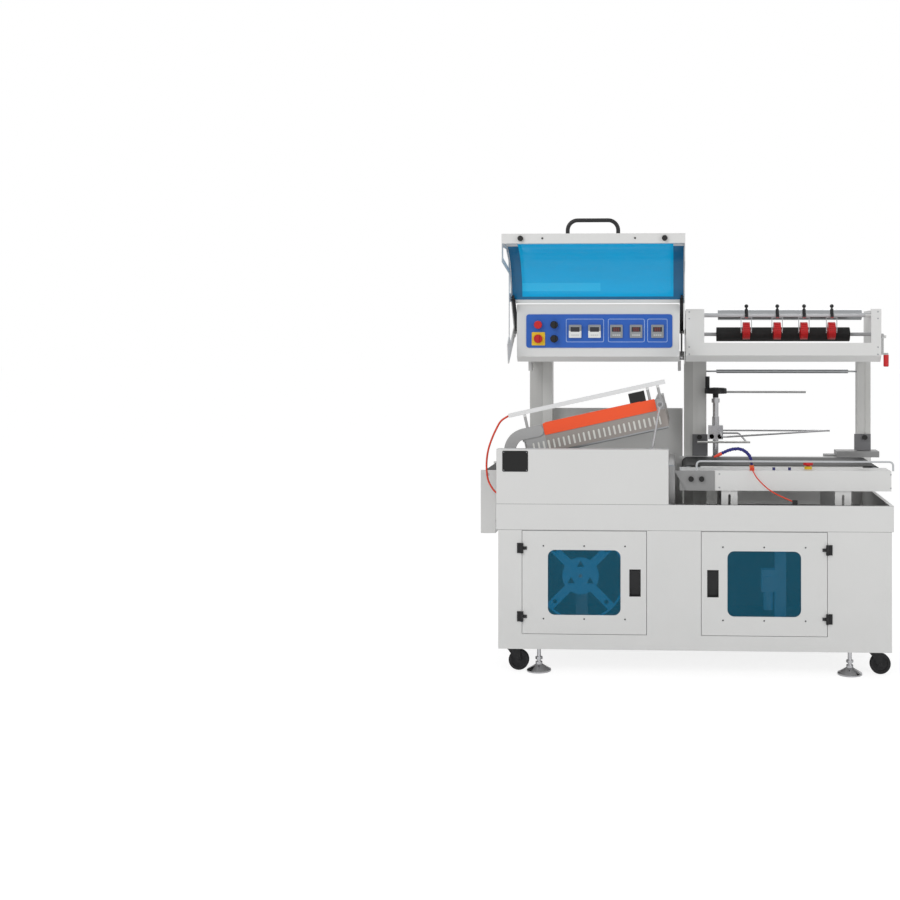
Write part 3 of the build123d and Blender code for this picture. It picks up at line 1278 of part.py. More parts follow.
with BuildPart() as button_collars:
    for x, z in CONTROL_SPOTS:
        if (x, z) == (SWITCH_COLUMN_X, LOWER_ROW_Z):
            continue
        collar(x, PANEL_FACE_Y, z, KNOB_RADIUS, COLLAR_HEIGHT)
    rounded_cut(
        front_plane(PANEL_FACE_Y),
        (SWITCH_COLUMN_X, LOWER_ROW_Z),
        (2 * MAIN_PLATE_HALF, 2 * MAIN_PLATE_HALF),
        3,
        MAIN_PLATE_THICKNESS,
        Mode.ADD,
    )
    disc(
        front_plane(PANEL_FACE_Y),
        (SWITCH_COLUMN_X, LOWER_ROW_Z),
        STEM_RADIUS + FIT,
        MAIN_PLATE_THICKNESS,
        Mode.SUBTRACT,
    )
keep(Compound(children=[control_panel.part, button_collars.part]), "control_panel")


def build_button(name, spot, base_y, cap_radius):
    x, z = spot
    with BuildPart() as button:
        disc(front_plane(base_y), (x, z), STEM_RADIUS, -STEM_LENGTH)
        disc(front_plane(base_y), (x, z), STEM_RADIUS, BUTTON_TRAVEL + GAP + 1)
        disc(front_plane(base_y - BUTTON_TRAVEL - GAP), (x, z), cap_radius, BUTTON_HEIGHT)
        fillet(button.edges().group_by(Axis.Y)[0], 3)
    keep(button.part, name)


def build_knob(name, spot, base_y, radius):
    x, z = spot
    with BuildPart() as knob:
        disc(front_plane(base_y - GAP), (x, z), STEM_RADIUS, -STEM_LENGTH)
        disc(front_plane(base_y - GAP), (x, z), radius, KNOB_HEIGHT)
        chamfer(knob.edges().group_by(Axis.Y)[0], 2)
        grip_y = base_y - GAP - KNOB_HEIGHT
        block((x - GRIP_WIDTH / 2, x + GRIP_WIDTH / 2), (grip_y - GRIP_HEIGHT, grip_y), (z - radius + 2, z + radius - 2))
    keep(knob.part, name)


build_button("stop_button", (SWITCH_COLUMN_X, UPPER_ROW_Z), PANEL_FACE_Y - COLLAR_HEIGHT, BUTTON_RADIUS)
build_knob("main_switch", (SWITCH_COLUMN_X, LOWER_ROW_Z), PANEL_FACE_Y - MAIN_PLATE_THICKNESS, MAIN_KNOB_RADIUS)
build_knob("upper_selector", (SELECTOR_COLUMN_X, UPPER_ROW_Z), PANEL_FACE_Y - COLLAR_HEIGHT, KNOB_RADIUS)
build_knob("lower_selector", (SELECTOR_COLUMN_X, LOWER_ROW_Z), PANEL_FACE_Y - COLLAR_HEIGHT, KNOB_RADIUS)

# Tilting hood: side plates, curved skin with a window opening, front bar and handle
HOOD_BAR_Y = (-453.0, -415.0)
HOOD_BAR_Z = (1745.0, 1784.0)
BUMPER_X = (-647.0, -72.0)
BUMPER_RADIUS = 11.0
BUMPER_PROUD = 12.0
SKIN_POINTS = ((-417.0, 1770.0), (-237.0, 1697.0), (-168.0, 1515.0))
SKIN = 2.0
WINDOW_MARGIN_X = 60.0
WINDOW_SPAN = (0.14, 0.90)
WINDOW_LAP = 0.03
HOOD_WINDOW = 3.0
HOOD_WINDOW_RADIUS = 25.0
HANDLE_X = (-460.0, -258.0)
HANDLE_TOP_Z = 1838.0
HANDLE_RADIUS = 8.0
HANDLE_BEND = 40.0
HANDLE_Y = -434.0
HOOD_BOSS_RADIUS = 24.0
SIDE_OUTLINE = (
    (-453.0, 1745.0),
    (-453.0, 1672.0),
    (-250.0, 1637.0),
    (-250.0, 1375.0),
    (-298.0, 1340.0),
    (-273.0, 1262.0),
    (-253.0, 1262.0),
    (-73.0, 1372.0),
    (-38.0, 1395.0),
    (-144.0, 1535.0),
)
SIDE_OPENINGS = (
    ((-422.0, 1732.0), (-422.0, 1690.0), (-262.0, 1660.0), (-262.0, 1692.0), (-330.0, 1732.0)),
    (
        (-232.0, 1640.0),
        (-232.0, 1372.0),
        (-200.0, 1352.0),
        (-98.0, 1416.0),
        (-182.0, 1530.0),
        (-205.0, 1600.0),
    ),
)
STRUT_BAND = ((-240.0, 1520.0), (-172.0, 1520.0), (-176.0, 1556.0), (-240.0, 1556.0))
STRUT_TOP_STUD = 5.0
HOOD_SCREWS = ((-560.0, 1765.0), (-190.0, 1765.0))
HOOD_SCREW_RADIUS = 4.0


def circle_through(first, second, third):
    """Centre and radius of the circle through three points."""
    ax, ay = first
    bx, by = second
    cx, cy = third
    d = 2 * (ax * (by - cy) + bx * (cy - ay) + cx * (ay - by))
    squares = [x * x + y * y for x, y in (first, second, third)]
    ux = (squares[0] * (by - cy) + squares[1] * (cy - ay) + squares[2] * (ay - by)) / d
    uy = (squares[0] * (cx - bx) + squares[1] * (ax - cx) + squares[2] * (bx - ax)) / d
    return (ux, uy), hypot(ax - ux, ay - uy)


SKIN_CENTRE, SKIN_RADIUS = circle_through(*SKIN_POINTS)
SKIN_ANGLES = [
    atan2(point[1] - SKIN_CENTRE[1], point[0] - SKIN_CENTRE[0])
    for point in (SKIN_POINTS[0], SKIN_POINTS[2])
]


def skin_point(share, depth):
    """Point on the curved skin: share of the arc from the bar, depth below the outside."""
    angle = SKIN_ANGLES[0] + (SKIN_ANGLES[1] - SKIN_ANGLES[0]) * share
    radius = SKIN_RADIUS - depth
    return (SKIN_CENTRE[0] + radius * cos(angle), SKIN_CENTRE[1] + radius * sin(angle))


def curved_sheet(first, last, depth, thickness, half_width):
    """A sheet bent round the skin circle, between two shares of its arc."""
    middle = (first + last) / 2
    with BuildSketch(side_plane(BOX_CENTRE_X - half_width)) as section:
        with BuildLine():
            ThreePointArc(*(skin_point(share, depth) for share in (first, middle, last)))
            ThreePointArc(*(skin_point(share, depth + thickness) for share in (first, middle, last)))
            for share in (first, last):
                Line(skin_point(share, depth), skin_point(share, depth + thickness))
        make_face()
    extrude(section.sketch, amount=2 * half_width)


HOOD_HALF = HOOD_INNER_HALF + HOOD_PLATE
BUMPER_CORNER = (
    HOOD_BAR_Y[0] - BUMPER_PROUD - HOOD_PIVOT[0],
    sum(HOOD_BAR_Z) / 2 + BUMPER_RADIUS - HOOD_PIVOT[1],
)
HOOD_CLOSED_DEG = degrees(
    asin((HOOD_PIVOT[1] - COVER_TOP_Z - GAP) / hypot(*BUMPER_CORNER))
    + atan2(BUMPER_CORNER[1], -BUMPER_CORNER[0])
)
print("hood closes by", round(HOOD_CLOSED_DEG, 3), "degrees")
with BuildPart() as hood_frame:
    block((BOX_CENTRE_X - HOOD_HALF, BOX_CENTRE_X + HOOD_HALF), HOOD_BAR_Y, HOOD_BAR_Z)
    curved_sheet(0.0, 1.0, 0.0, SKIN, HOOD_HALF)
    top = skin_point(WINDOW_SPAN[0], 0)
    low = skin_point(WINDOW_SPAN[1], 0)
    chord = hypot(low[0] - top[0], low[1] - top[1])
    across = Vector(0, (low[0] - top[0]) / chord, (low[1] - top[1]) / chord)
    middle = Vector(BOX_CENTRE_X, (top[0] + low[0]) / 2, (top[1] + low[1]) / 2)
    cutter = Plane(origin=middle, x_dir=(1, 0, 0), z_dir=Vector(1, 0, 0).cross(across))
    with BuildSketch(cutter) as opening:
        RectangleRounded(2 * (HOOD_HALF - WINDOW_MARGIN_X), chord, HOOD_WINDOW_RADIUS)
    extrude(opening.sketch, amount=SKIN_RADIUS / 2, both=True, mode=Mode.SUBTRACT)
    for inner in (BOX_CENTRE_X - HOOD_HALF, BOX_CENTRE_X + HOOD_INNER_HALF):
        with BuildSketch(side_plane(inner)) as side:
            with BuildLine():
                Polyline(SKIN_POINTS[2], SIDE_OUTLINE[-1], *reversed(SIDE_OUTLINE[:-1]), SKIN_POINTS[0])
                ThreePointArc(*SKIN_POINTS)
            make_face()
            with Locations(HOOD_PIVOT):
                Circle(HOOD_BOSS_RADIUS)
            for points in SIDE_OPENINGS:
                with BuildLine():
                    Polyline(*points, close=True)
                make_face(mode=Mode.SUBTRACT)
            with Locations(HOOD_PIVOT):
                Circle(HOOD_PIN_RADIUS + FIT, mode=Mode.SUBTRACT)
            with BuildLine():
                Polyline(*STRUT_BAND, close=True)
            make_face()
        extrude(side.sketch, amount=HOOD_PLATE)
    for side in (-1, 1):
        disc(
            side_plane(BOX_CENTRE_X + side * HOOD_INNER_HALF),
            STRUT_TOP,
            STRUT_STUD_RADIUS,
            -side * STRUT_TOP_STUD,
        )
    for x in BUMPER_X:
        disc(front_plane(HOOD_BAR_Y[0]), (x, sum(HOOD_BAR_Z) / 2), BUMPER_RADIUS, BUMPER_PROUD)
    for spot in HOOD_SCREWS:
        disc(front_plane(HOOD_BAR_Y[0]), spot, HOOD_SCREW_RADIUS, 2)

handle_path = [
    (HANDLE_X[0], HANDLE_Y, HOOD_BAR_Z[1]),
    (HANDLE_X[0], HANDLE_Y, HANDLE_TOP_Z),
    (HANDLE_X[1], HANDLE_Y, HANDLE_TOP_Z),
    (HANDLE_X[1], HANDLE_Y, HOOD_BAR_Z[1]),
]
hood_handle = bent_bar(handle_path, [HANDLE_BEND, HANDLE_BEND], HANDLE_RADIUS)
keep(Compound(children=[hood_frame.part, hood_handle]), "hood_frame")

with BuildPart() as hood_window:
    curved_sheet(
        WINDOW_SPAN[0] - WINDOW_LAP,
        WINDOW_SPAN[1] + WINDOW_LAP,
        SKIN,
        HOOD_WINDOW,
        HOOD_HALF - WINDOW_MARGIN_X + 12,
    )
keep(hood_window.part, "hood_window")

# Lifting struts: a cylinder on the hood stud and a rod on the box stud, on each side
STRUT_HALF_X = 353.0
STRUT_RADIUS = 8.2
STRUT_BORE = 6.0
STRUT_TUBE = 182.0
STRUT_ROD_RADIUS = 4.0
STRUT_ROD = 178.0
STRUT_GUIDE = 12.0
STRUT_ENDWALL = 2.0
STRUT_EYE_RADIUS = 8.0
STRUT_EYE_HALF = 4.5
STRUT_SIDE_GAP = 1.0
STRUT_LENGTH = hypot(STRUT_TOP[0] - STRUT_BASE[0], STRUT_TOP[1] - STRUT_BASE[1])
STRUT_UNIT = (
    (STRUT_TOP[0] - STRUT_BASE[0]) / STRUT_LENGTH,
    (STRUT_TOP[1] - STRUT_BASE[1]) / STRUT_LENGTH,
)


def strut_plane(x, distance):
    """Plane across the strut at a distance from its lower eye."""
    return Plane(
        origin=(
            x,
            STRUT_BASE[0] + STRUT_UNIT[0] * distance,
            STRUT_BASE[1] + STRUT_UNIT[1] * distance,
        ),
        x_dir=(1, 0, 0),
        z_dir=(0, *STRUT_UNIT),
    )


def build_strut(name, side):
    x = BOX_CENTRE_X + side * STRUT_HALF_X
    mouth = STRUT_LENGTH - STRUT_TUBE
    with BuildPart() as rod:
        disc(strut_plane(x, 0), (0, 0), STRUT_ROD_RADIUS, STRUT_ROD)
        disc(side_plane(x - STRUT_EYE_HALF), STRUT_BASE, STRUT_EYE_RADIUS, 2 * STRUT_EYE_HALF)
        disc(
            side_plane(x - STRUT_EYE_HALF),
            STRUT_BASE,
            STRUT_STUD_RADIUS + FIT,
            2 * STRUT_EYE_HALF,
            Mode.SUBTRACT,
        )
    keep(rod.part, name + "_strut_rod")
    with BuildPart() as tube:
        disc(strut_plane(x, mouth), (0, 0), STRUT_RADIUS, STRUT_TUBE - STRUT_EYE_RADIUS)
        disc(
            side_plane(x - STRUT_EYE_HALF),
            STRUT_TOP,
            STRUT_EYE_RADIUS + 1,
            2 * STRUT_EYE_HALF,
        )
        disc(
            strut_plane(x, mouth + STRUT_GUIDE),
            (0, 0),
            STRUT_BORE,
            STRUT_TUBE - 2 * STRUT_GUIDE - STRUT_ENDWALL,
            Mode.SUBTRACT,
        )
        disc(strut_plane(x, mouth), (0, 0), STRUT_ROD_RADIUS + FIT, STRUT_GUIDE, Mode.SUBTRACT)
    keep(tube.part, name + "_strut_cylinder")


build_strut("left", -1)
build_strut("right", 1)

# Push button standing on the strip in front of the in-feed belt
INFEED_BUTTON_RADIUS = 20.0
with BuildPart() as infeed_stop_button:
    base = STRIP_Z + INFEED_COLLAR
    disc(Plane.XY.offset(STRIP_Z + 1), INFEED_BUTTON, STEM_RADIUS, INFEED_COLLAR + BUTTON_TRAVEL)
    disc(Plane.XY.offset(base + BUTTON_TRAVEL + GAP), INFEED_BUTTON, INFEED_BUTTON_RADIUS, BUTTON_HEIGHT)
    fillet(infeed_stop_button.edges().group_by(Axis.Z)[-1], 3)
keep(infeed_stop_button.part, "infeed_stop_button")

# Film unwinder frame: two folded cheeks, a front panel with a sloped lower edge
UNWIND_LEFT = (14.0, 91.0)
UNWIND_RIGHT = (788.0, 830.0)
UNWIND_FRONT_Y = -158.0
UNWIND_REAR_Y = BEAM_FRONT_Y
UNWIND_TOP_Z = 1490.0
UNWIND_BOTTOM_Z = POST_TOP_Z
UNWIND_PANEL_TOP_Z = 1348.0
UNWIND_PANEL_LOW_Z = 1295.0
UNWIND_CHAMFER = 27.0
UNWIND_SHEET = 3.0
CHEEK_RETURN = 20.0
PERFORATOR_BAR_RADIUS = 7.0
PERFORATOR_BAR = (-8.0, 1465.0)
BRAKE_PIVOT = (-143.0, 1374.0)
BRAKE_PIN_RADIUS = 6.0
BRAKE_REACH = 22.0
FEED_ROLLER = (72.0, 1385.0)
SUPPORT_ROLLER = (112.0, 1471.0)
FEED_SHAFT_RADIUS = 8.0
CHEEK_INNER_LEFT = UNWIND_LEFT[0] + UNWIND_SHEET
CHEEK_INNER_RIGHT = UNWIND_RIGHT[1] - UNWIND_SHEET
with BuildPart() as unwinder_frame:
    for x in (UNWIND_LEFT[0], CHEEK_INNER_RIGHT):
        block((x, x + UNWIND_SHEET), (UNWIND_FRONT_Y, UNWIND_REAR_Y), (UNWIND_BOTTOM_Z + UNWIND_CHAMFER, UNWIND_TOP_Z))
        block(
            (x, x + UNWIND_SHEET),
            (UNWIND_FRONT_Y + UNWIND_CHAMFER, UNWIND_REAR_Y),
            (UNWIND_BOTTOM_Z, UNWIND_BOTTOM_Z + UNWIND_CHAMFER),
        )
    for x_range in (UNWIND_LEFT, UNWIND_RIGHT):
        block(x_range, (UNWIND_FRONT_Y, UNWIND_FRONT_Y + UNWIND_SHEET), (UNWIND_PANEL_LOW_Z, UNWIND_TOP_Z))
        block(x_range, (UNWIND_FRONT_Y, UNWIND_FRONT_Y + CHEEK_RETURN), (UNWIND_TOP_Z - UNWIND_SHEET, UNWIND_TOP_Z))
    panel = [
        (UNWIND_FRONT_Y, UNWIND_PANEL_TOP_Z),
        (UNWIND_FRONT_Y, UNWIND_PANEL_LOW_Z),
        (UNWIND_FRONT_Y + UNWIND_CHAMFER, UNWIND_BOTTOM_Z),
        (UNWIND_REAR_Y, UNWIND_BOTTOM_Z),
        (UNWIND_REAR_Y, UNWIND_BOTTOM_Z + UNWIND_SHEET),
        (UNWIND_FRONT_Y + UNWIND_CHAMFER + UNWIND_SHEET, UNWIND_BOTTOM_Z + UNWIND_SHEET),
        (UNWIND_FRONT_Y + UNWIND_SHEET, UNWIND_PANEL_LOW_Z + UNWIND_SHEET),
        (UNWIND_FRONT_Y + UNWIND_SHEET, UNWIND_PANEL_TOP_Z),
    ]
    plate(side_plane(UNWIND_LEFT[0]), panel, UNWIND_RIGHT[1] - UNWIND_LEFT[0], Mode.ADD)
    for centre in (FEED_ROLLER, SUPPORT_ROLLER):
        disc(
            side_plane(UNWIND_LEFT[0]),
            centre,
            FEED_SHAFT_RADIUS + FIT,
            UNWIND_RIGHT[1] - UNWIND_LEFT[0],
            Mode.SUBTRACT,
        )
    disc(
        side_plane(CHEEK_INNER_LEFT),
        PERFORATOR_BAR,
        PERFORATOR_BAR_RADIUS,
        CHEEK_INNER_RIGHT - CHEEK_INNER_LEFT,
    )
    disc(side_plane(UNWIND_RIGHT[1]), BRAKE_PIVOT, BRAKE_PIN_RADIUS, BRAKE_REACH)
keep(unwinder_frame.part, "unwinder_frame")


def build_drum(name, centre, x_range, radius, shaft_range, shaft_radius):
    with BuildPart() as drum:
        disc(side_plane(x_range[0]), centre, radius, x_range[1] - x_range[0])
        chamfer(drum.edges().filter_by(GeomType.CIRCLE), 1)
        disc(side_plane(shaft_range[0]), centre, shaft_radius, shaft_range[1] - shaft_range[0])
    keep(drum.part, name)


SUPPORT_RADIUS = 23.0
FEED_RADIUS = 31.0
IDLER_RADIUS = 9.0
SHAFT_OUTER = (UNWIND_LEFT[0] - 1, UNWIND_RIGHT[1] + 1)
build_drum("support_roller", SUPPORT_ROLLER, (157.0, 787.0), SUPPORT_RADIUS, SHAFT_OUTER, FEED_SHAFT_RADIUS)
build_drum("feed_roller", FEED_ROLLER, (149.0, 729.0), FEED_RADIUS, SHAFT_OUTER, FEED_SHAFT_RADIUS)
build_drum(
    "film_idler",
    IDLER,
    (156.0, 754.0),
    IDLER_RADIUS,
    (MIDDLE_POST_X[1] - IDLER_SOCKET, RIGHT_POST_X[0] + IDLER_SOCKET),
    IDLER_SHAFT_RADIUS,
)

# Perforator: toothed wheels that run on the feed roller, held by forks on a bar
WHEEL_X = (276.0, 409.0, 524.0, 643.0)
WHEEL_R = 37.5
WHEEL_WIDTH = 30.0
WHEEL_HUB = 10.0
WHEEL_HUB_WIDTH = 36.0
TOOTH_COUNT = 24
TOOTH_DEPTH = 3.0
TOOTH_WIDTH = 2.0
WHEEL_Z = 1400.0
WHEEL_AXLE_RADIUS = 5.0
FORK_WIDTH = 48.0
FORK_SHEET = 3.0
FORK_TOP_Z = 1459.0
BALL_RADIUS = 8.5
BALL_Z = 1506.0
STEM_NECK = 3.0
FORK_CLAMP_RADIUS = PERFORATOR_BAR_RADIUS + 5.0
FORK_CLAMP_WIDTH = 14.0
WHEEL_REACH = FEED_RADIUS + WHEEL_R + GAP
WHEEL_Y = FEED_ROLLER[0] - (WHEEL_REACH**2 - (WHEEL_Z - FEED_ROLLER[1]) ** 2) ** 0.5
with BuildPart() as perforating_wheels:
    for x in WHEEL_X:
        with BuildSketch(side_plane(x - WHEEL_WIDTH / 2)) as outline:
            with Locations((WHEEL_Y, WHEEL_Z)):
                Circle(WHEEL_R)
                with PolarLocations(WHEEL_R, TOOTH_COUNT):
                    Rectangle(2 * TOOTH_DEPTH, TOOTH_WIDTH, mode=Mode.SUBTRACT)
        extrude(outline.sketch, amount=WHEEL_WIDTH)
        disc(side_plane(x - WHEEL_HUB_WIDTH / 2), (WHEEL_Y, WHEEL_Z), WHEEL_HUB, WHEEL_HUB_WIDTH)
        disc(
            side_plane(x - WHEEL_HUB_WIDTH / 2),
            (WHEEL_Y, WHEEL_Z),
            WHEEL_AXLE_RADIUS + FIT,
            WHEEL_HUB_WIDTH,
            Mode.SUBTRACT,
        )
keep(perforating_wheels.part, "perforating_wheels")

with BuildPart() as perforator_brackets:
    for x in WHEEL_X:
        for edge in (x - FORK_WIDTH / 2, x + FORK_WIDTH / 2 - FORK_SHEET):
            block(
                (edge, edge + FORK_SHEET),
                (WHEEL_Y - WHEEL_HUB, PERFORATOR_BAR[0] + WHEEL_HUB),
                (WHEEL_Z, FORK_TOP_Z),
            )
            disc(side_plane(edge), (WHEEL_Y, WHEEL_Z), WHEEL_HUB, FORK_SHEET)
        block(
            (x - FORK_WIDTH / 2, x + FORK_WIDTH / 2),
            (WHEEL_Y - WHEEL_HUB, PERFORATOR_BAR[0] + WHEEL_HUB),
            (FORK_TOP_Z - FORK_SHEET, FORK_TOP_Z),
        )
        disc(
            side_plane(x - FORK_CLAMP_WIDTH / 2),
            PERFORATOR_BAR,
            FORK_CLAMP_RADIUS,
            FORK_CLAMP_WIDTH,
        )
        disc(
            side_plane(x - FORK_WIDTH / 2 - 1),
            PERFORATOR_BAR,
            PERFORATOR_BAR_RADIUS,
            FORK_WIDTH + 2,
            Mode.SUBTRACT,
        )
        disc(
            side_plane(x - FORK_WIDTH / 2),
            (WHEEL_Y, WHEEL_Z),
            WHEEL_AXLE_RADIUS,
            FORK_WIDTH,
        )
        disc(
            Plane.XY.offset(PERFORATOR_BAR[1] + PERFORATOR_BAR_RADIUS + 1),
            (x, PERFORATOR_BAR[0]),
            STEM_NECK,
            BALL_Z - PERFORATOR_BAR[1] - PERFORATOR_BAR_RADIUS,
        )
        with Locations((x, PERFORATOR_BAR[0], BALL_Z)):
            Sphere(BALL_RADIUS)
keep(perforator_brackets.part, "perforator_brackets")

# Brake lever with a red grip beside the right cheek
LEVER_X = (833.0, 841.0)
LEVER_RADIUS = 14.0
LEVER_GRIP_X = 852.0
LEVER_GRIP_Z = (1248.0, 1298.0)
LEVER_GRIP_RADIUS = 11.0
LEVER_WIDTH = 16.0
with BuildPart() as brake_lever:
    disc(side_plane(LEVER_X[0]), BRAKE_PIVOT, LEVER_RADIUS, LEVER_X[1] - LEVER_X[0])
    block(
        LEVER_X,
        (BRAKE_PIVOT[0] - LEVER_WIDTH / 2, BRAKE_PIVOT[0] + LEVER_WIDTH / 2),
        (LEVER_GRIP_Z[1], BRAKE_PIVOT[1]),
    )
    block(
        (LEVER_X[0], LEVER_GRIP_X + LEVER_WIDTH / 2),
        (BRAKE_PIVOT[0] - LEVER_WIDTH / 2, BRAKE_PIVOT[0] + LEVER_WIDTH / 2),
        (LEVER_GRIP_Z[1], LEVER_GRIP_Z[1] + 8),
    )
    disc(
        side_plane(LEVER_X[0]),
        BRAKE_PIVOT,
        BRAKE_PIN_RADIUS + FIT,
        LEVER_X[1] - LEVER_X[0],
        Mode.SUBTRACT,
    )
    disc(
        Plane.XY.offset(LEVER_GRIP_Z[0]),
        (LEVER_GRIP_X, BRAKE_PIVOT[0]),
        LEVER_GRIP_RADIUS,
        LEVER_GRIP_Z[1] - LEVER_GRIP_Z[0],
    )
    fillet(brake_lever.edges().group_by(Axis.Z)[0], 4)
keep(brake_lever.part, "brake_lever")

# Film carriage column on the rear rail: tube with a rear slot, collar and top bush
COLUMN = (151.0, 234.0)
COLUMN_RADIUS = 13.0
COLUMN_BORE = 10.0
COLUMN_TOP_Z = 1100.0
COLUMN_FLANGE_HALF = 17.0
COLUMN_FLANGE = 4.0
COLUMN_COLLAR_RADIUS = 18.5
COLUMN_COLLAR_Z = (1077.0, 1095.0)
SPINDLE_RADIUS = 6.0
SLOT_Z = (860.0, 1060.0)
KEY_SLOT = 8.0
BUSH_HEIGHT = 12.0
RAIL_TOP_Z = INFEED_BELT_TOP_Z + REAR_RAIL_TOP


def column_disc(low, high, radius, mode=Mode.ADD):
    disc(Plane.XY.offset(low), COLUMN, radius, high - low, mode)


with BuildPart() as film_column:
    column_disc(RAIL_TOP_Z, COLUMN_TOP_Z, COLUMN_RADIUS)
    block(
        (COLUMN[0] - COLUMN_FLANGE_HALF, COLUMN[0] + COLUMN_FLANGE_HALF),
        (PLATE_REAR_Y, PLATE_REAR_Y + 2 * COLUMN_FLANGE_HALF),
        (RAIL_TOP_Z, RAIL_TOP_Z + COLUMN_FLANGE),
    )
    column_disc(*COLUMN_COLLAR_Z, COLUMN_COLLAR_RADIUS)
    column_disc(RAIL_TOP_Z + COLUMN_FLANGE, COLUMN_TOP_Z - BUSH_HEIGHT, COLUMN_BORE, Mode.SUBTRACT)
    column_disc(COLUMN_TOP_Z - BUSH_HEIGHT, COLUMN_TOP_Z, SPINDLE_RADIUS + FIT, Mode.SUBTRACT)
    block(
        (COLUMN[0] - KEY_SLOT / 2, COLUMN[0] + KEY_SLOT / 2),
        (COLUMN[1], COLUMN[1] + COLUMN_RADIUS),
        SLOT_Z,
        Mode.SUBTRACT,
    )
keep(film_column.part, "film_column")

# Handwheel with its spindle inside the column and a crank handle
HANDWHEEL_Z = (1118.0, 1143.0)
HANDWHEEL_RADIUS = 50.0
RIM_WIDTH = 9.0
WEB_THICKNESS = 6.0
HUB_RADIUS = 13.0
CRANK_RADIUS = 10.0
CRANK_TOP_Z = 1195.0
CRANK_OFFSET = 42.0
SPINDLE_LOW_Z = 850.0
with BuildPart() as handwheel:
    column_disc(SPINDLE_LOW_Z, HANDWHEEL_Z[0] + 1, SPINDLE_RADIUS)
    column_disc(COLUMN_TOP_Z + GAP, HANDWHEEL_Z[1] + 2, HUB_RADIUS)
    column_disc(*HANDWHEEL_Z, HANDWHEEL_RADIUS)
    fillet(handwheel.edges().filter_by(GeomType.CIRCLE).sort_by(Edge.length)[-1], 6)
    for low, high in (
        (HANDWHEEL_Z[0], sum(HANDWHEEL_Z) / 2 - WEB_THICKNESS / 2),
        (sum(HANDWHEEL_Z) / 2 + WEB_THICKNESS / 2, HANDWHEEL_Z[1]),
    ):
        with BuildSketch(Plane.XY.offset(low)) as recess:
            with Locations(COLUMN):
                Circle(HANDWHEEL_RADIUS - RIM_WIDTH)
                Circle(HUB_RADIUS, mode=Mode.SUBTRACT)
        extrude(recess.sketch, amount=high - low, mode=Mode.SUBTRACT)
    disc(
        Plane.XY.offset(sum(HANDWHEEL_Z) / 2),
        (COLUMN[0] - CRANK_OFFSET + CRANK_RADIUS / 2, COLUMN[1]),
        CRANK_RADIUS,
        CRANK_TOP_Z - sum(HANDWHEEL_Z) / 2,
    )
keep(handwheel.part, "handwheel")

# Film carriage: clamp block with a nut on the spindle, triangle of rods and a white bar
CARRIAGE_X = (118.0, 184.0)
CARRIAGE_Y = (217.0, 267.0)
CARRIAGE_Z = (911.0, 973.0)
SLEEVE_TOP_Z = 1013.0
SLEEVE_RADIUS = 16.0
CARRIAGE_KNOB_X = (133.0, 169.0)
CARRIAGE_KNOB_Z = 925.0
CARRIAGE_KNOB_RADIUS = 10.0
CARRIAGE_KNOB_PROUD = 14.0
ROD_RADIUS = 4.0
TRIANGLE_Z = 951.0
TRIANGLE_X = 166.0
TRIANGLE_FRONT_Y = -150.0
TRIANGLE_END = (656.0, 238.0)
TRIANGLE_BEND = 12.0
LONG_ROD_END_X = 664.0
NUT_OUTER = COLUMN_BORE - GAP
NUT_Z = (930.0, 955.0)
KEY_WIDTH = KEY_SLOT - 2 * GAP
DROP_ROD = ((184.0, 225.0, 939.0), (255.0, 225.0, 939.0), (289.0, 208.0, 900.0))
WHITE_BAR_X = (68.0, 305.0)
WHITE_BAR_RADIUS = 5.0
with BuildPart() as film_carriage:
    block(CARRIAGE_X, CARRIAGE_Y, CARRIAGE_Z)
    chamfer(film_carriage.edges().filter_by(Axis.Z), 4)
    column_disc(CARRIAGE_Z[1], SLEEVE_TOP_Z, SLEEVE_RADIUS)
    column_disc(CARRIAGE_Z[0], SLEEVE_TOP_Z, COLUMN_RADIUS + FIT, Mode.SUBTRACT)
    column_disc(*NUT_Z, NUT_OUTER)
    column_disc(*NUT_Z, SPINDLE_RADIUS + FIT, Mode.SUBTRACT)
    block(
        (COLUMN[0] - KEY_WIDTH / 2, COLUMN[0] + KEY_WIDTH / 2),
        (COLUMN[1] + NUT_OUTER - 2, CARRIAGE_Y[1] - 5),
        NUT_Z,
    )
    for x in CARRIAGE_KNOB_X:
        disc(
            front_plane(CARRIAGE_Y[0]),
            (x, CARRIAGE_KNOB_Z),
            CARRIAGE_KNOB_RADIUS,
            CARRIAGE_KNOB_PROUD,
        )
    disc(
        side_plane(CARRIAGE_X[1] - 2),
        (COLUMN[1], TRIANGLE_Z),
        ROD_RADIUS,
        LONG_ROD_END_X - CARRIAGE_X[1] + 2,
    )
    triangle = [
        (TRIANGLE_X, CARRIAGE_Y[0] + 1, TRIANGLE_Z),
        (TRIANGLE_X, TRIANGLE_FRONT_Y, TRIANGLE_Z),
        (*TRIANGLE_END, TRIANGLE_Z),
    ]
    add(bent_bar(triangle, [TRIANGLE_BEND], ROD_RADIUS))
    add(bent_bar(list(DROP_ROD), [20], ROD_RADIUS))
    disc(
        side_plane(WHITE_BAR_X[0]),
        (DROP_ROD[-1][1], DROP_ROD[-1][2]),
        WHITE_BAR_RADIUS,
        WHITE_BAR_X[1] - WHITE_BAR_X[0],
    )
keep(film_carriage.part, "film_carriage")

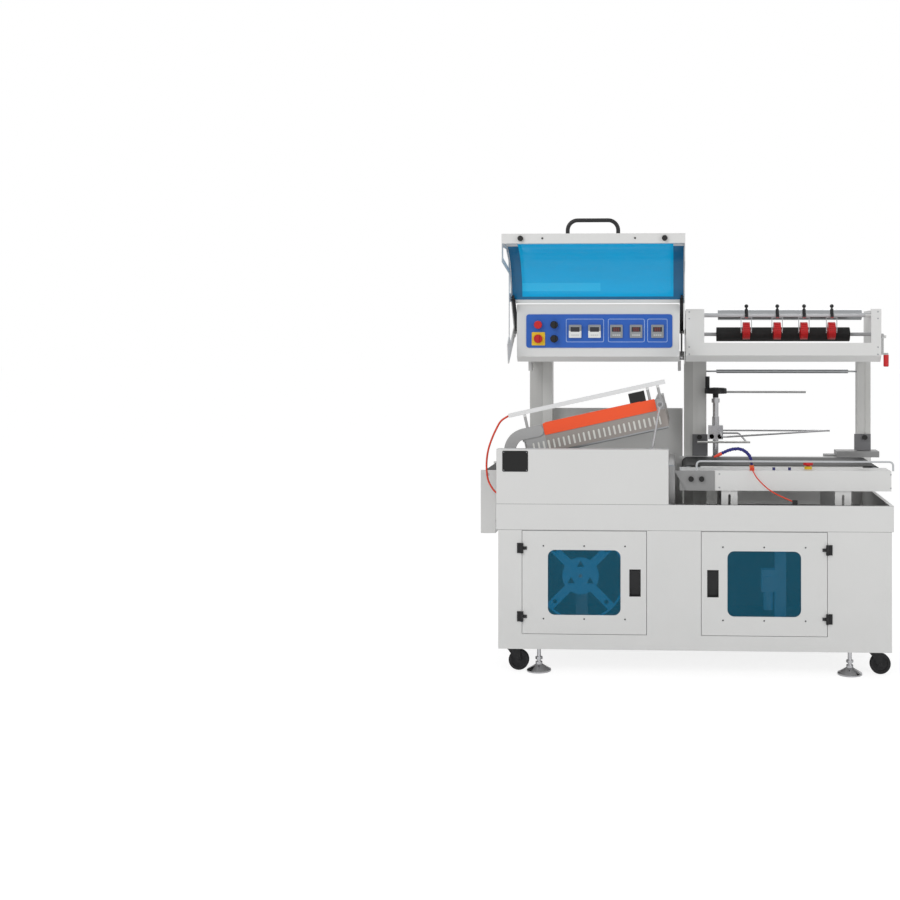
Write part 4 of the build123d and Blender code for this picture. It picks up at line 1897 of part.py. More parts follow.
# Scrap film reel: slotted hub, four arms with end holes and a thin rim
REEL_THICKNESS = 5.0
REEL_HUB_RADIUS = 75.0
REEL_RADIUS = 185.0
REEL_RIM = 8.0
REEL_ARM = 34.0
REEL_HOLE_RADIUS = 9.0
REEL_HOLE_REACH = 150.0
REEL_WINDOW = 26.0
with BuildPart() as scrap_reel:
    with BuildSketch(front_plane(REEL_FRONT_Y)) as face:
        with Locations((REEL_X, REEL_Z)):
            Circle(REEL_RADIUS)
            Circle(REEL_RADIUS - REEL_RIM, mode=Mode.SUBTRACT)
            Rectangle(2 * REEL_RADIUS - REEL_RIM, REEL_ARM, rotation=45)
            Rectangle(2 * REEL_RADIUS - REEL_RIM, REEL_ARM, rotation=-45)
            Circle(REEL_HUB_RADIUS)
            with PolarLocations(REEL_HOLE_REACH, 4, start_angle=45):
                Circle(REEL_HOLE_RADIUS, mode=Mode.SUBTRACT)
            with PolarLocations(REEL_HUB_RADIUS * 0.6, 3, start_angle=90):
                RegularPolygon(REEL_WINDOW * 0.7, 3, mode=Mode.SUBTRACT)
    extrude(face.sketch, amount=-REEL_THICKNESS)
    disc(front_plane(REEL_FRONT_Y), (REEL_X, REEL_Z), REEL_SLEEVE_RADIUS, -REEL_SLEEVE)
    disc(front_plane(REEL_FRONT_Y), (REEL_X, REEL_Z), REEL_PIN_RADIUS + FIT, -REEL_SLEEVE, Mode.SUBTRACT)
keep(scrap_reel.part, "scrap_reel")

# Air treatment unit on a stand behind the right door
FLOOR_Z = CABINET_BOTTOM_Z + SHEET
STAND_X = (377.0, 422.0)
STAND_Y = (-290.0, -250.0)
STAND_TOP_Z = 540.0
REGULATOR_X = (322.0, 377.0)
REGULATOR_Z = (330.0, 420.0)
BOWL_RADIUS = 20.0
BOWL_LOW_Z = 255.0
GAUGE = (350.0, 374.0)
GAUGE_RADIUS = 22.0
GAUGE_DEPTH = 14.0
with BuildPart() as air_unit:
    block(STAND_X, STAND_Y, (FLOOR_Z, STAND_TOP_Z))
    block((STAND_X[0] - 30, STAND_X[1] + 30), STAND_Y, (FLOOR_Z, FLOOR_Z + 5))
    block(REGULATOR_X, STAND_Y, REGULATOR_Z)
    disc(
        Plane.XY.offset(BOWL_LOW_Z),
        (sum(REGULATOR_X) / 2, sum(STAND_Y) / 2),
        BOWL_RADIUS - 1,
        REGULATOR_Z[0] - BOWL_LOW_Z,
    )
    disc(front_plane(STAND_Y[0]), GAUGE, GAUGE_RADIUS, GAUGE_DEPTH)
keep(air_unit.part, "air_unit")

# Air hoses, their bends set by the shorter run at each corner, and the film nozzle
ARM_HOSE_RADIUS = 4.0
NOZZLE_HOSE_RADIUS = 5.0
LINE_RADIUS = 2.5
BEND_SHARE = 0.45
CHANNEL_Y = ARM_FRONT_Y + BEAM_SETBACK + CHANNEL_SIZE / 2
ARM_HOSE_START = turned((CHANNEL_LEFT_X - 0.5, CHANNEL_TOP_Z - CHANNEL_SIZE / 2), -ARM_OPEN_DEG)
ARM_HOSE = [
    (ARM_HOSE_START[0], CHANNEL_Y, ARM_HOSE_START[1]),
    (-762, CHANNEL_Y, 1022),
    (-792, -215, 965),
    (-815, -220, 900),
    (-821, -228, 835),
    (-812, -240, 772),
    (-782, -258, 730),
    (-744, -273, 711),
    (-730, -282, 664),
    (ARM_FITTING[0], ARM_FITTING[1], TRAY_FLOOR_Z + ARM_FITTING_HEIGHT + GAP),
]
NOZZLE_FOOT = (283.0, -270.0)
NOZZLE_FOOT_HEIGHT = 20.0
NOZZLE_FOOT_RADIUS = 9.0
NOZZLE_HOSE = [
    (159, NOZZLE_FOOT[1], 893),
    (205, NOZZLE_FOOT[1], 915),
    (250, NOZZLE_FOOT[1], 912),
    (279, NOZZLE_FOOT[1], 880),
    (NOZZLE_FOOT[0], NOZZLE_FOOT[1], STRIP_Z + NOZZLE_FOOT_HEIGHT),
]
NOZZLE_TIP = 34.0
NOZZLE_TIP_RADIUS = 8.0
LINE = [
    (NOZZLE_FOOT[0], INFEED_FRONT_Y - 2, STRIP_Z + 8),
    (285, -316, 826),
    (300, -330, 800),
    (332, -338, 766),
    (372, -342, 738),
    (442.5, -350, 708),
]
LINE_SOCKET = ((442.0, 462.0), (-357.0, -344.0))
LINE_SOCKET_HEIGHT = 20.0


def bends_for(points):
    """Bend radii: a share of the shorter neighbouring run, over the tangent of half the turn."""
    radii = []
    for before, corner, after in zip(points, points[1:], points[2:]):
        first = Vector(*corner) - Vector(*before)
        second = Vector(*after) - Vector(*corner)
        half_turn = radians(first.get_angle(second)) / 2
        radii.append(BEND_SHARE * min(first.length, second.length) / tan(half_turn))
    return radii


def hose(name, points, radius):
    radii = bends_for(points)
    tube = bent_bar(points, radii, radius)
    with BuildLine() as route:
        FilletPolyline(*points, radius=radii)
    length = sum(edge.length for edge in route.line.edges())
    print(name, "length", round(length, 1), "tightest bend", round(min(radii), 1))
    print(name, "volume share", round(tube.volume / (pi * radius**2 * length), 3))
    return tube


with BuildPart() as hose_fittings:
    disc(Plane.XY.offset(STRIP_Z), NOZZLE_FOOT, NOZZLE_FOOT_RADIUS, NOZZLE_FOOT_HEIGHT)
    block(
        (NOZZLE_FOOT[0] - NOZZLE_FOOT_RADIUS, NOZZLE_FOOT[0] + NOZZLE_FOOT_RADIUS),
        (INFEED_FRONT_Y - 2, NOZZLE_FOOT[1]),
        (STRIP_Z, STRIP_Z + NOZZLE_FOOT_HEIGHT - 6),
    )
    block(*LINE_SOCKET, (TRAY_TOP_Z, TRAY_TOP_Z + LINE_SOCKET_HEIGHT))
    tip = Vector(*NOZZLE_HOSE[0])
    aim = (Vector(*NOZZLE_HOSE[1]) - tip).normalized()
    with BuildSketch(Plane(origin=tip - aim * NOZZLE_TIP, x_dir=(0, 1, 0), z_dir=aim)) as end:
        Circle(NOZZLE_HOSE_RADIUS - 1)
    with BuildSketch(Plane(origin=tip, x_dir=(0, 1, 0), z_dir=aim)) as collar_end:
        Circle(NOZZLE_TIP_RADIUS)
    loft()
hoses = [
    hose("arm hose", ARM_HOSE, ARM_HOSE_RADIUS),
    hose("nozzle hose", NOZZLE_HOSE, NOZZLE_HOSE_RADIUS),
    hose("nozzle line", LINE, LINE_RADIUS),
]
keep(Compound(children=[hose_fittings.part, *hoses]), "air_hoses")
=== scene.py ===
"""Finishes, small fittings and a studio for an L-bar film sealer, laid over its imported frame."""

import math

import bmesh
import bpy
from bpy.props import FloatProperty, FloatVectorProperty, IntProperty, PointerProperty
from mathutils import Euler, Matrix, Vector


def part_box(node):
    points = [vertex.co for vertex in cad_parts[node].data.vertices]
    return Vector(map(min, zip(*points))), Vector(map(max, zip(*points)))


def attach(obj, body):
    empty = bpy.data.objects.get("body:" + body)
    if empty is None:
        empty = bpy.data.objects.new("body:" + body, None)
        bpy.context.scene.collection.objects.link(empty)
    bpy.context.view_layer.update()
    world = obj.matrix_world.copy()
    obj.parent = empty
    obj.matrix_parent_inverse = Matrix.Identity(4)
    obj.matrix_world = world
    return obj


bl_info = {
    "name": "Film Sealer Looks",
    "version": (1, 0, 0),
    "blender": (4, 5, 0),
    "location": "View3D > Sidebar > Sealer",
    "description": "Finishes the film sealer and sets up its studio",
    "category": "Object",
}

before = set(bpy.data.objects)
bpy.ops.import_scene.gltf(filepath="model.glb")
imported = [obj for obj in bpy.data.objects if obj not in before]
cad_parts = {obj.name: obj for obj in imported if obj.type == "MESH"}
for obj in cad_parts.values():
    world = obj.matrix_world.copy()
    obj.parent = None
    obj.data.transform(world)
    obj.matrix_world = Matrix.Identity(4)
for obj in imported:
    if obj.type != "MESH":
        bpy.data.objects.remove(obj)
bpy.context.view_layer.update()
MM = 0.001
ANYWHERE = (None, None, None)


def linear(red, green, blue):
    """A colour given as seen on screen, in the linear values that shaders use."""
    return tuple(c / 12.92 if c <= 0.04045 else ((c + 0.055) / 1.055) ** 2.4 for c in (red, green, blue))


def mm(*values):
    """A vector in metres from values in millimetres."""
    return Vector([value * MM for value in values])


def colour_property(name, description, colour):
    """A colour that a user can change, given as seen on screen."""
    return FloatVectorProperty(
        name=name, description=description, subtype="COLOR", size=3, min=0, max=1, default=linear(*colour)
    )


# Finishes


class Value:
    """A node socket that takes part in ordinary arithmetic."""

    def __init__(self, finish, socket):
        self.finish = finish
        self.socket = socket

    def _math(self, operation, first, second=None):
        """A math node on one or two terms, each a value or a number."""
        node = self.finish.tree.nodes.new("ShaderNodeMath")
        node.operation = operation
        for slot, term in zip(node.inputs, (first, second)):
            if isinstance(term, Value):
                self.finish.tree.links.new(term.socket, slot)
            elif term is not None:
                slot.default_value = term
        return Value(self.finish, node.outputs[0])

    def __add__(self, other):
        return self._math("ADD", self, other)

    def __radd__(self, other):
        return self._math("ADD", other, self)

    def __sub__(self, other):
        return self._math("SUBTRACT", self, other)

    def __rsub__(self, other):
        return self._math("SUBTRACT", other, self)

    def __mul__(self, other):
        return self._math("MULTIPLY", self, other)

    def __rmul__(self, other):
        return self._math("MULTIPLY", other, self)

    def __gt__(self, other):
        return self._math("GREATER_THAN", self, other)

    def __lt__(self, other):
        return self._math("LESS_THAN", self, other)

    def sine(self):
        return self._math("SINE", self)

    def most(self, other):
        return self._math("MAXIMUM", self, other)


class Finish:
    """One procedural material on Object coordinates."""

    def __init__(self, name, **constants):
        self.material = bpy.data.materials.new(name)
        self.material.use_nodes = True
        self.tree = self.material.node_tree
        self.shader = self.tree.nodes["Principled BSDF"]
        for socket, value in constants.items():
            self.shader.inputs[socket.replace("_", " ")].default_value = value
        self.place = self.node("ShaderNodeTexCoord").outputs["Object"]
        axes = self.node("ShaderNodeSeparateXYZ", Vector=self.place).outputs
        self.x, self.y, self.z = (Value(self, axis) for axis in axes)

    def node(self, kind, settings=None, **inputs):
        """A new node, with its inputs linked or filled in."""
        node = self.tree.nodes.new(kind)
        for key, value in (settings or {}).items():
            setattr(node, key, value)
        for key, value in inputs.items():
            socket = node.inputs[key.replace("_", " ")]
            if isinstance(value, Value):
                value = value.socket
            if isinstance(value, bpy.types.NodeSocket):
                self.tree.links.new(value, socket)
            else:
                socket.default_value = value
        return node

    def stretched(self, *scale):
        """Object coordinates, scaled along each axis."""
        return self.node("ShaderNodeMapping", None, Vector=self.place, Scale=scale).outputs[0]

    def noise(self, scale, detail=2.0, place=None):
        """Noise from 0 to 1."""
        node = self.node(
            "ShaderNodeTexNoise", None, Vector=place or self.place, Scale=scale, Detail=detail
        )
        return Value(self, node.outputs["Fac"])

    def mix(self, factor, first, second):
        """A blend of two colours."""
        node = self.tree.nodes.new("ShaderNodeMix")
        node.data_type = "RGBA"
        for slot, value in ((node.inputs[0], factor), (node.inputs[6], first), (node.inputs[7], second)):
            if isinstance(value, Value):
                value = value.socket
            if isinstance(value, bpy.types.NodeSocket):
                self.tree.links.new(value, slot)
            elif isinstance(value, (int, float)):
                slot.default_value = value
            else:
                slot.default_value = (*value[:3], 1.0)
        return node.outputs[2]

    def shades(self, colour, factor, spread):
        """A colour that drifts darker and lighter by the spread."""
        return self.mix(
            factor,
            [c * (1 - spread) for c in colour],
            [min(1.0, c * (1 + spread)) for c in colour],
        )

    def inside(self, low, high):
        """1 within a box given in millimetres, None for an open side."""
        mask = None
        for axis, below, above in zip((self.x, self.y, self.z), low, high):
            for test in (
                None if below is None else axis > below * MM,
                None if above is None else axis < above * MM,
            ):
                if test is not None:
                    mask = test if mask is None else mask * test
        return mask

    def feed(self, **links):
        """Links sockets of the shader, named with underscores."""
        for socket, value in links.items():
            value = value.socket if isinstance(value, Value) else value
            self.tree.links.new(value, self.shader.inputs[socket.replace("_", " ")])
        return self

    def bump(self, height, strength, distance):
        """Gives the surface a relief."""
        node = self.node("ShaderNodeBump", None, Height=height, Strength=strength, Distance=distance)
        return self.feed(Normal=node.outputs[0])


def enamel(name, colour, rough=0.42, grain=900.0, strength=0.12):
    """Sprayed enamel: orange peel, a little drift of tone and blotches that darken it towards the floor."""
    finish = Finish(name, Coat_Weight=0.15, Coat_Roughness=0.25)
    drift = finish.noise(2.5)
    # Below 0.625 m the paint turns a little darker in blotches, most near the floor.
    darker_near_floor = (1 - finish.z * 1.6).most(0) * finish.noise(9.0) * 0.25
    toned = finish.shades(colour, drift, 0.035)
    finish.feed(
        Base_Color=finish.mix(darker_near_floor, toned, [c * 0.72 for c in colour]),
        Roughness=rough + (finish.noise(40.0) - 0.5) * 0.12,
    )
    return finish.bump(finish.noise(grain, 1.0), strength, 0.0004)


def brushed(name, colour, along=(1, 1, 1), rough=0.3):
    """Metal with fine lines; the smallest factor of along runs with the lines."""
    finish = Finish(name, Metallic=1.0)
    lines = finish.noise(600.0, 2.0, finish.stretched(*along))
    finish.feed(
        Base_Color=finish.shades(colour, lines, 0.10),
        Roughness=rough + (lines - 0.5) * 0.2 + (finish.noise(6.0) - 0.5) * 0.08,
    )
    return finish.bump(lines, 0.08, 0.0002)


def moulded(name, colour, rough=0.45, grain=1200.0):
    """Moulded plastic with a fine spark texture."""
    finish = Finish(name, Specular_IOR_Level=0.5)
    finish.feed(
        Base_Color=finish.shades(colour, finish.noise(25.0), 0.06),
        Roughness=rough + (finish.noise(80.0) - 0.5) * 0.12,
    )
    return finish.bump(finish.noise(grain, 1.0), 0.08, 0.0002)


def clear_sheet(name, colour, see_through, glow=0.0, rough=0.06):
    """Tinted acrylic sheet with faint wipe marks; the glow is painted light, an emission standing in for the
    light that it passes on.
    """
    finish = Finish(name, IOR=1.49, Specular_IOR_Level=0.3, Emission_Strength=glow)
    wipes = finish.noise(5.0, 3.0, finish.stretched(1.0, 1.0, 6.0))
    finish.feed(
        Base_Color=finish.shades(colour, wipes, 0.06),
        # The emission is painted light: the sheet glows in its own tint.
        Emission_Color=finish.shades(colour, wipes, 0.06),
        Roughness=rough + wipes * 0.05,
        Alpha=(1 - see_through) + (wipes - 0.5) * 0.06,
    )
    return finish


def woven_belt(name, colour):
    """Fabric-backed belt: crossed threads under a thin cover."""
    finish = Finish(name)
    pitch = 2 * math.pi / (1.6 * MM)
    weave = (finish.x * pitch).sine() * (finish.y * pitch).sine()
    scuffs = finish.noise(14.0, 3.0, finish.stretched(0.3, 3.0, 1.0))
    finish.feed(
        Base_Color=finish.shades(colour, scuffs, 0.25),
        Roughness=0.6 + (scuffs - 0.5) * 0.2,
    )
    return finish.bump(weave * 0.5 + 0.5, 0.25, 0.0003)


def masked(base, colour, low, high, rough=None):
    """Recolours the stretch of a finish that lies in a box; the last call wins."""
    mask = base.inside(low, high)
    before = base.shader.inputs["Base Color"].links[0].from_socket
    base.feed(Base_Color=base.mix(mask, before, colour))
    if rough is not None:
        old = Value(base, base.shader.inputs["Roughness"].links[0].from_socket)
        base.feed(Roughness=old * (1 - mask) + rough * mask)
    return base


def patched(base, patches):
    """Recolours named stretches in turn: screen colour, low and high corner in millimetres, roughness."""
    for colour, low, high, rough in patches.values():
        masked(base, linear(*colour), low, high, rough)
    return base


def metal_in(base, low, high):
    """Makes a finish metallic within a box only."""
    return base.feed(Metallic=base.inside(low, high))


def coat(finish, *nodes):
    """Gives CAD nodes or pieces the finish."""
    for node in nodes:
        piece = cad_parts[node] if isinstance(node, str) else node
        piece.data.materials.clear()
        piece.data.materials.append(finish.material)
        for face in piece.data.polygons:
            face.material_index = 0


# Mesh helpers


def piece_from(name, build, finish, body, smooth=False):
    """A new piece from a bmesh builder, with its finish and body."""
    mesh = bpy.data.meshes.new(name)
    work = bmesh.new()
    build(work)
    bmesh.ops.recalc_face_normals(work, faces=work.faces)
    work.to_mesh(mesh)
    work.free()
    piece = bpy.data.objects.new(name, mesh)
    bpy.context.collection.objects.link(piece)
    mesh.shade_smooth() if smooth else mesh.shade_flat()
    coat(finish, piece)
    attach(piece, body)
    return piece


def rounded_rectangle(width, height, radius, steps=5):
    """Outline points of a rectangle with round corners, about the origin."""
    points = []
    for number in range(4):
        turn = math.pi / 2 * number
        corner = Vector((width / 2 - radius, height / 2 - radius))
        signs = ((1, 1), (-1, 1), (-1, -1), (1, -1))[number]
        for step in range(steps + 1):
            angle = turn + math.pi / 2 * step / steps
            points.append(
                Vector((corner.x * signs[0], corner.y * signs[1]))
                + radius * Vector((math.cos(angle), math.sin(angle)))
            )
    return points


def front_panel(work, centre, width, height, radius, y, thick):
    """A raised flat shape that faces the front; y is its front face. Sizes in millimetres."""
    outline = rounded_rectangle(width, height, radius)
    near = [work.verts.new(mm(centre[0] + p.x, y, centre[1] + p.y)) for p in outline]
    far = [work.verts.new(mm(centre[0] + p.x, y + thick, centre[1] + p.y)) for p in outline]
    work.faces.new(near)
    work.faces.new(far[::-1])
    for i in range(len(near)):
        j = (i + 1) % len(near)
        work.faces.new((near[j], near[i], far[i], far[j]))


LINE_THICKNESS = 0.3


def front_outline(work, centre, width, height, radius, y, line):
    """A thin raised outline that faces the front; line is its width."""
    rings = []
    for inset, depth in ((0, 0), (line, 0), (line, LINE_THICKNESS), (0, LINE_THICKNESS)):
        outline = rounded_rectangle(width - 2 * inset, height - 2 * inset, max(radius - inset, 0.5))
        rings.append([work.verts.new(mm(centre[0] + p.x, y + depth, centre[1] + p.y)) for p in outline])
    for first, second in zip(rings, rings[1:] + rings[:1]):
        for i in range(len(first)):
            j = (i + 1) % len(first)
            work.faces.new((first[i], first[j], second[j], second[i]))


# Geometry Nodes: screw heads set on points


HEAD_SIDES = 14
HEAD_TAPER = 0.7
FACING_FRONT = (math.pi / 2, 0, 0)


def screw_tree():
    """Tapered round heads, one on each point of the mesh."""
    tree = bpy.data.node_groups.new("screw_heads", "GeometryNodeTree")
    face = tree.interface
    face.new_socket("Points", in_out="INPUT", socket_type="NodeSocketGeometry")
    face.new_socket("Head radius", in_out="INPUT", socket_type="NodeSocketFloat")
    face.new_socket("Head height", in_out="INPUT", socket_type="NodeSocketFloat")
    face.new_socket("Facing", in_out="INPUT", socket_type="NodeSocketVector")
    face.new_socket("Finish", in_out="INPUT", socket_type="NodeSocketMaterial")
    face.new_socket("Heads", in_out="OUTPUT", socket_type="NodeSocketGeometry")
    nodes, link = tree.nodes, tree.links.new
    given = nodes.new("NodeGroupInput").outputs
    rim = nodes.new("GeometryNodeMeshCone")
    rim.inputs["Vertices"].default_value = HEAD_SIDES
    link(given["Head radius"], rim.inputs["Radius Bottom"])
    link(given["Head height"], rim.inputs["Depth"])
    narrow = nodes.new("ShaderNodeMath")
    narrow.operation = "MULTIPLY"
    narrow.inputs[1].default_value = HEAD_TAPER
    link(given["Head radius"], narrow.inputs[0])
    link(narrow.outputs[0], rim.inputs["Radius Top"])
    place = nodes.new("GeometryNodeInstanceOnPoints")
    link(given["Points"], place.inputs["Points"])
    link(rim.outputs["Mesh"], place.inputs["Instance"])
    link(given["Facing"], place.inputs["Rotation"])
    real = nodes.new("GeometryNodeRealizeInstances")
    link(place.outputs[0], real.inputs[0])
    paint = nodes.new("GeometryNodeSetMaterial")
    link(real.outputs[0], paint.inputs["Geometry"])
    link(given["Finish"], paint.inputs["Material"])
    link(paint.outputs[0], nodes.new("NodeGroupOutput").inputs[0])
    return tree


def screws(name, points, radius, height, finish, body, slot):
    """Screw heads at the points, in millimetres, as one plain mesh."""
    mesh = bpy.data.meshes.new(name)
    mesh.from_pydata([mm(*point) for point in points], [], [])
    piece = bpy.data.objects.new(name, mesh)
    bpy.context.collection.objects.link(piece)
    tree = bpy.data.node_groups.get("screw_heads") or screw_tree()
    modifier = piece.modifiers.new("heads", "NODES")
    modifier.node_group = tree
    sockets = {item.name: item.identifier for item in tree.interface.items_tree if item.in_out == "INPUT"}
    modifier[sockets["Head radius"]] = radius * MM
    modifier[sockets["Head height"]] = height * MM
    modifier[sockets["Facing"]] = FACING_FRONT
    modifier[sockets["Finish"]] = finish.material
    piece.update_tag()
    graph = bpy.context.evaluated_depsgraph_get()
    solid = bpy.data.meshes.new_from_object(piece.evaluated_get(graph))
    piece.modifiers.clear()
    piece.data = solid
    coat(finish, piece)
    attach(piece, body)
    return piece


# Sizes and colours that a user would change


class SealerColours(bpy.types.PropertyGroup):
    paint: colour_property("Paint", "Light grey enamel of the sheet parts", (0.86, 0.86, 0.855))
    post_paint: colour_property("Post paint", "Darker grey of the posts", (0.81, 0.81, 0.80))
    panel_blue: colour_property("Panel blue", "Ground of the control panel", (0.14, 0.37, 0.73))
    hood_blue: colour_property("Hood blue", "Tint of the hood window", (0.0, 0.60, 0.79))
    door_blue: colour_property("Door blue", "Tint of the door windows", (0.0, 0.35, 0.45))
    guard_orange: colour_property("Guard orange", "Paint of the guard strip", (0.98, 0.34, 0.14))
    signal_red: colour_property("Signal red", "Stop buttons and film wheels", (0.78, 0.10, 0.12))


class SealerSizes(bpy.types.PropertyGroup):
    screw_radius: FloatProperty(
        name="Screw radius", description="Radius of the small screw heads, in millimetres", default=3.4, min=1
    )
    lens: FloatProperty(
        name="Lens", description="Focal length of the studio camera, in millimetres", default=48.4, min=10
    )
    bead_count: IntProperty(
        name="Hose beads", description="Beads on the flexible nozzle hose", default=15, min=3
    )


def colours():
    """The colours that a user can change."""
    return bpy.context.scene.sealer_colours


def sizes():
    """The sizes that a user can change."""
    return bpy.context.scene.sealer_sizes


# Finishes that several steps share

FINISHES = {}


def finish_of(name, maker, *args, **kwargs):
    """Each finish is made once and shared."""
    if name not in FINISHES:
        FINISHES[name] = maker(name, *args, **kwargs)
    return FINISHES[name]


def light_paint():
    return finish_of("light_paint", enamel, tuple(colours().paint))


def steel():
    return finish_of("steel", brushed, linear(0.72, 0.73, 0.74))


def chrome():
    return finish_of("chrome", brushed, linear(0.84, 0.84, 0.85), (1, 1, 1), 0.14)


def black_plastic():
    return finish_of("black_plastic", moulded, linear(0.07, 0.07, 0.08))


def signal_red():
    return finish_of("signal_red", moulded, tuple(colours().signal_red), 0.3)


# The cabinet

SEAM_COLOUR = (0.50, 0.50, 0.50)
SEAM_LEVELS = (588.0, 693.0)
SEAM_LINE = (-1.1, 0.4)
SEAM_Y = (-358.6, -357.6)
RECESS_HALF_WIDTH = 23.2
RECESS_Z = (319.8, 430.2)
RECESS_COLOUR = (0.05, 0.05, 0.06)
DOOR_PATCHES = {"hinge leaves": ((0.06, 0.06, 0.07), ANYWHERE, (None, -358.3, None), 0.4)}
TRAY_PATCHES = {
    # Near-black painted shade over the inside of the tray below the in-feed, where little light reaches.
    "painted shade inside below the in-feed": ((0.04, 0.04, 0.04), (-50, -353, 560), (830, 440, 709), 0.6),
    "rear guard sheet": ((0.76, 0.75, 0.74), (-600, 325, 600), (5, 340, 1046), None),
}
DOOR_SCREW_MARGIN = (4.0, 2.0)
DOOR_SCREW_HEIGHT = 2.0


def seams(base):
    """Draws the lines between the front's sheets."""
    for level in SEAM_LEVELS:
        low, high = ((None, y, level + edge) for y, edge in zip(SEAM_Y, SEAM_LINE))
        masked(base, linear(*SEAM_COLOUR), low, high)


class SEALER_OT_cabinet(bpy.types.Operator):
    """Paints the cabinet, tray, covers and doors, and sets the door screws"""

    bl_idname = "sealer.cabinet"
    bl_label = "Cabinet"

    def execute(self, context):
        panels = enamel("panel_paint", tuple(colours().paint))
        seams(panels)
        coat(panels, "cabinet", "seal_covers")
        for side in ("left", "right"):
            paint = enamel(f"{side}_door_paint", tuple(colours().paint))
            middle = sum(corner[0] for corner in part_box(f"{side}_latch")) / 2 / MM
            edges = (middle - RECESS_HALF_WIDTH, middle + RECESS_HALF_WIDTH)
            masked(paint, linear(*RECESS_COLOUR), *((x, None, z) for x, z in zip(edges, RECESS_Z)))
            patched(paint, DOOR_PATCHES)
            coat(paint, f"{side}_door")
        tray = enamel("tray_paint", tuple(colours().paint))
        patched(tray, TRAY_PATCHES)
        seams(tray)
        coat(tray, "deck_tray")
        window = finish_of("door_window", clear_sheet, tuple(colours().door_blue), 0.48)
        coat(window, "left_door_window", "right_door_window")
        coat(black_plastic(), "door_hinges", "left_latch", "right_latch")
        dark = finish_of("dark_steel", brushed, linear(0.30, 0.30, 0.31))
        radius = sizes().screw_radius
        across, up = DOOR_SCREW_MARGIN
        for side in ("left", "right"):
            low, high = (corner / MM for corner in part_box(f"{side}_door_window"))
            points = [
                (x, low[1] - DOOR_SCREW_HEIGHT, z)
                for x in (low[0] - across, (low[0] + high[0]) / 2, high[0] + across)
                for z in (low[2] - up, high[2] + up)
            ]
            name = f"{side}_door_screws"
            screws(name, points, radius, DOOR_SCREW_HEIGHT, dark, f"{side}_door", "bare steel")
        return {"FINISHED"}


class SEALER_OT_running_gear(bpy.types.Operator):
    """Finishes the casters and the levelling feet"""

    bl_idname = "sealer.running_gear"
    bl_label = "Casters and feet"

    def execute(self, context):
        coat(chrome(), "levelling_feet")
        tread = finish_of("caster_rubber", moulded, linear(0.09, 0.09, 0.10), 0.6)
        for end in ("front", "rear"):
            for side in ("left", "right"):
                coat(tread, f"{end}_{side}_wheel")
                coat(black_plastic(), f"{end}_{side}_fork")
        return {"FINISHED"}


INFEED_PATCHES = {
    # A darker grey over the left end of the strip, from x -40 to 131.
    "darker grey at the strip's left end": ((0.56, 0.56, 0.56), (-40, -310, 740), (131, -297, 825.5), None),
    "bracket knobs": ((0.06, 0.06, 0.06), (20, -330, 775), (90, -302.5, 806), 0.4),
    "guide rod": ((0.75, 0.76, 0.77), (50, -293, 826.5), (860, -283, 870), 0.25),
    "small knobs": ((0.16, 0.18, 0.42), (360, -285, 826.5), (450, -268, 845), 0.4),
    "stop button's collar": ((0.90, 0.75, 0.10), (495, -250, 826.5), (540, -205, 839), 0.4),
}


class SEALER_OT_conveyors(bpy.types.Operator):
    """Finishes both conveyors, their rollers and belts"""

    bl_idname = "sealer.conveyors"
    bl_label = "Conveyors"

    def execute(self, context):
        strip = enamel("infeed_paint", tuple(colours().paint))
        patched(strip, INFEED_PATCHES)
        coat(strip, "infeed_frame")
        coat(light_paint(), "exit_frame")
        coat(finish_of("belt_cover", woven_belt, linear(0.16, 0.17, 0.17)), "conveyor_belts")
        coat(steel(), "infeed_drive_roller", "infeed_tail_roller", "exit_drive_roller", "exit_tail_roller")
        coat(signal_red(), "infeed_stop_button")
        return {"FINISHED"}


# The sealing arm

ARM_PIVOT = (-744.0, 800.0)
ARM_OPEN = math.radians(12.5)
SLOT_COUNT = 26
SLOT_PITCH = 21.5
SLOT_MIDDLE = -330.0
SLOT_Z = 881.0
FINGER_SIZE = (6.0, 39.0)
FINGER_RADIUS = 2.9
FINGER_THICKNESS = 0.8
FINGER_Y = -223.4
ARM_PATCHES = {
    "top channel": ((0.90, 0.90, 0.90), (None, None, 1015), ANYWHERE, 0.35),
    "comb": ((0.62, 0.59, 0.57), (-543, None, None), (None, None, 922), 0.4),
    "switch block": ((0.05, 0.05, 0.05), (-168, None, 967), (-99, None, 1015), 0.45),
}


def arm_square(finish):
    """The x and z of the arm's points as they are when it lies closed, where its parts are square."""
    across = finish.x - ARM_PIVOT[0] * MM
    up = finish.z - ARM_PIVOT[1] * MM
    cosine, sine = math.cos(ARM_OPEN), math.sin(ARM_OPEN)
    return (
        across * cosine + up * sine + ARM_PIVOT[0] * MM,
        up * cosine - across * sine + ARM_PIVOT[1] * MM,
    )


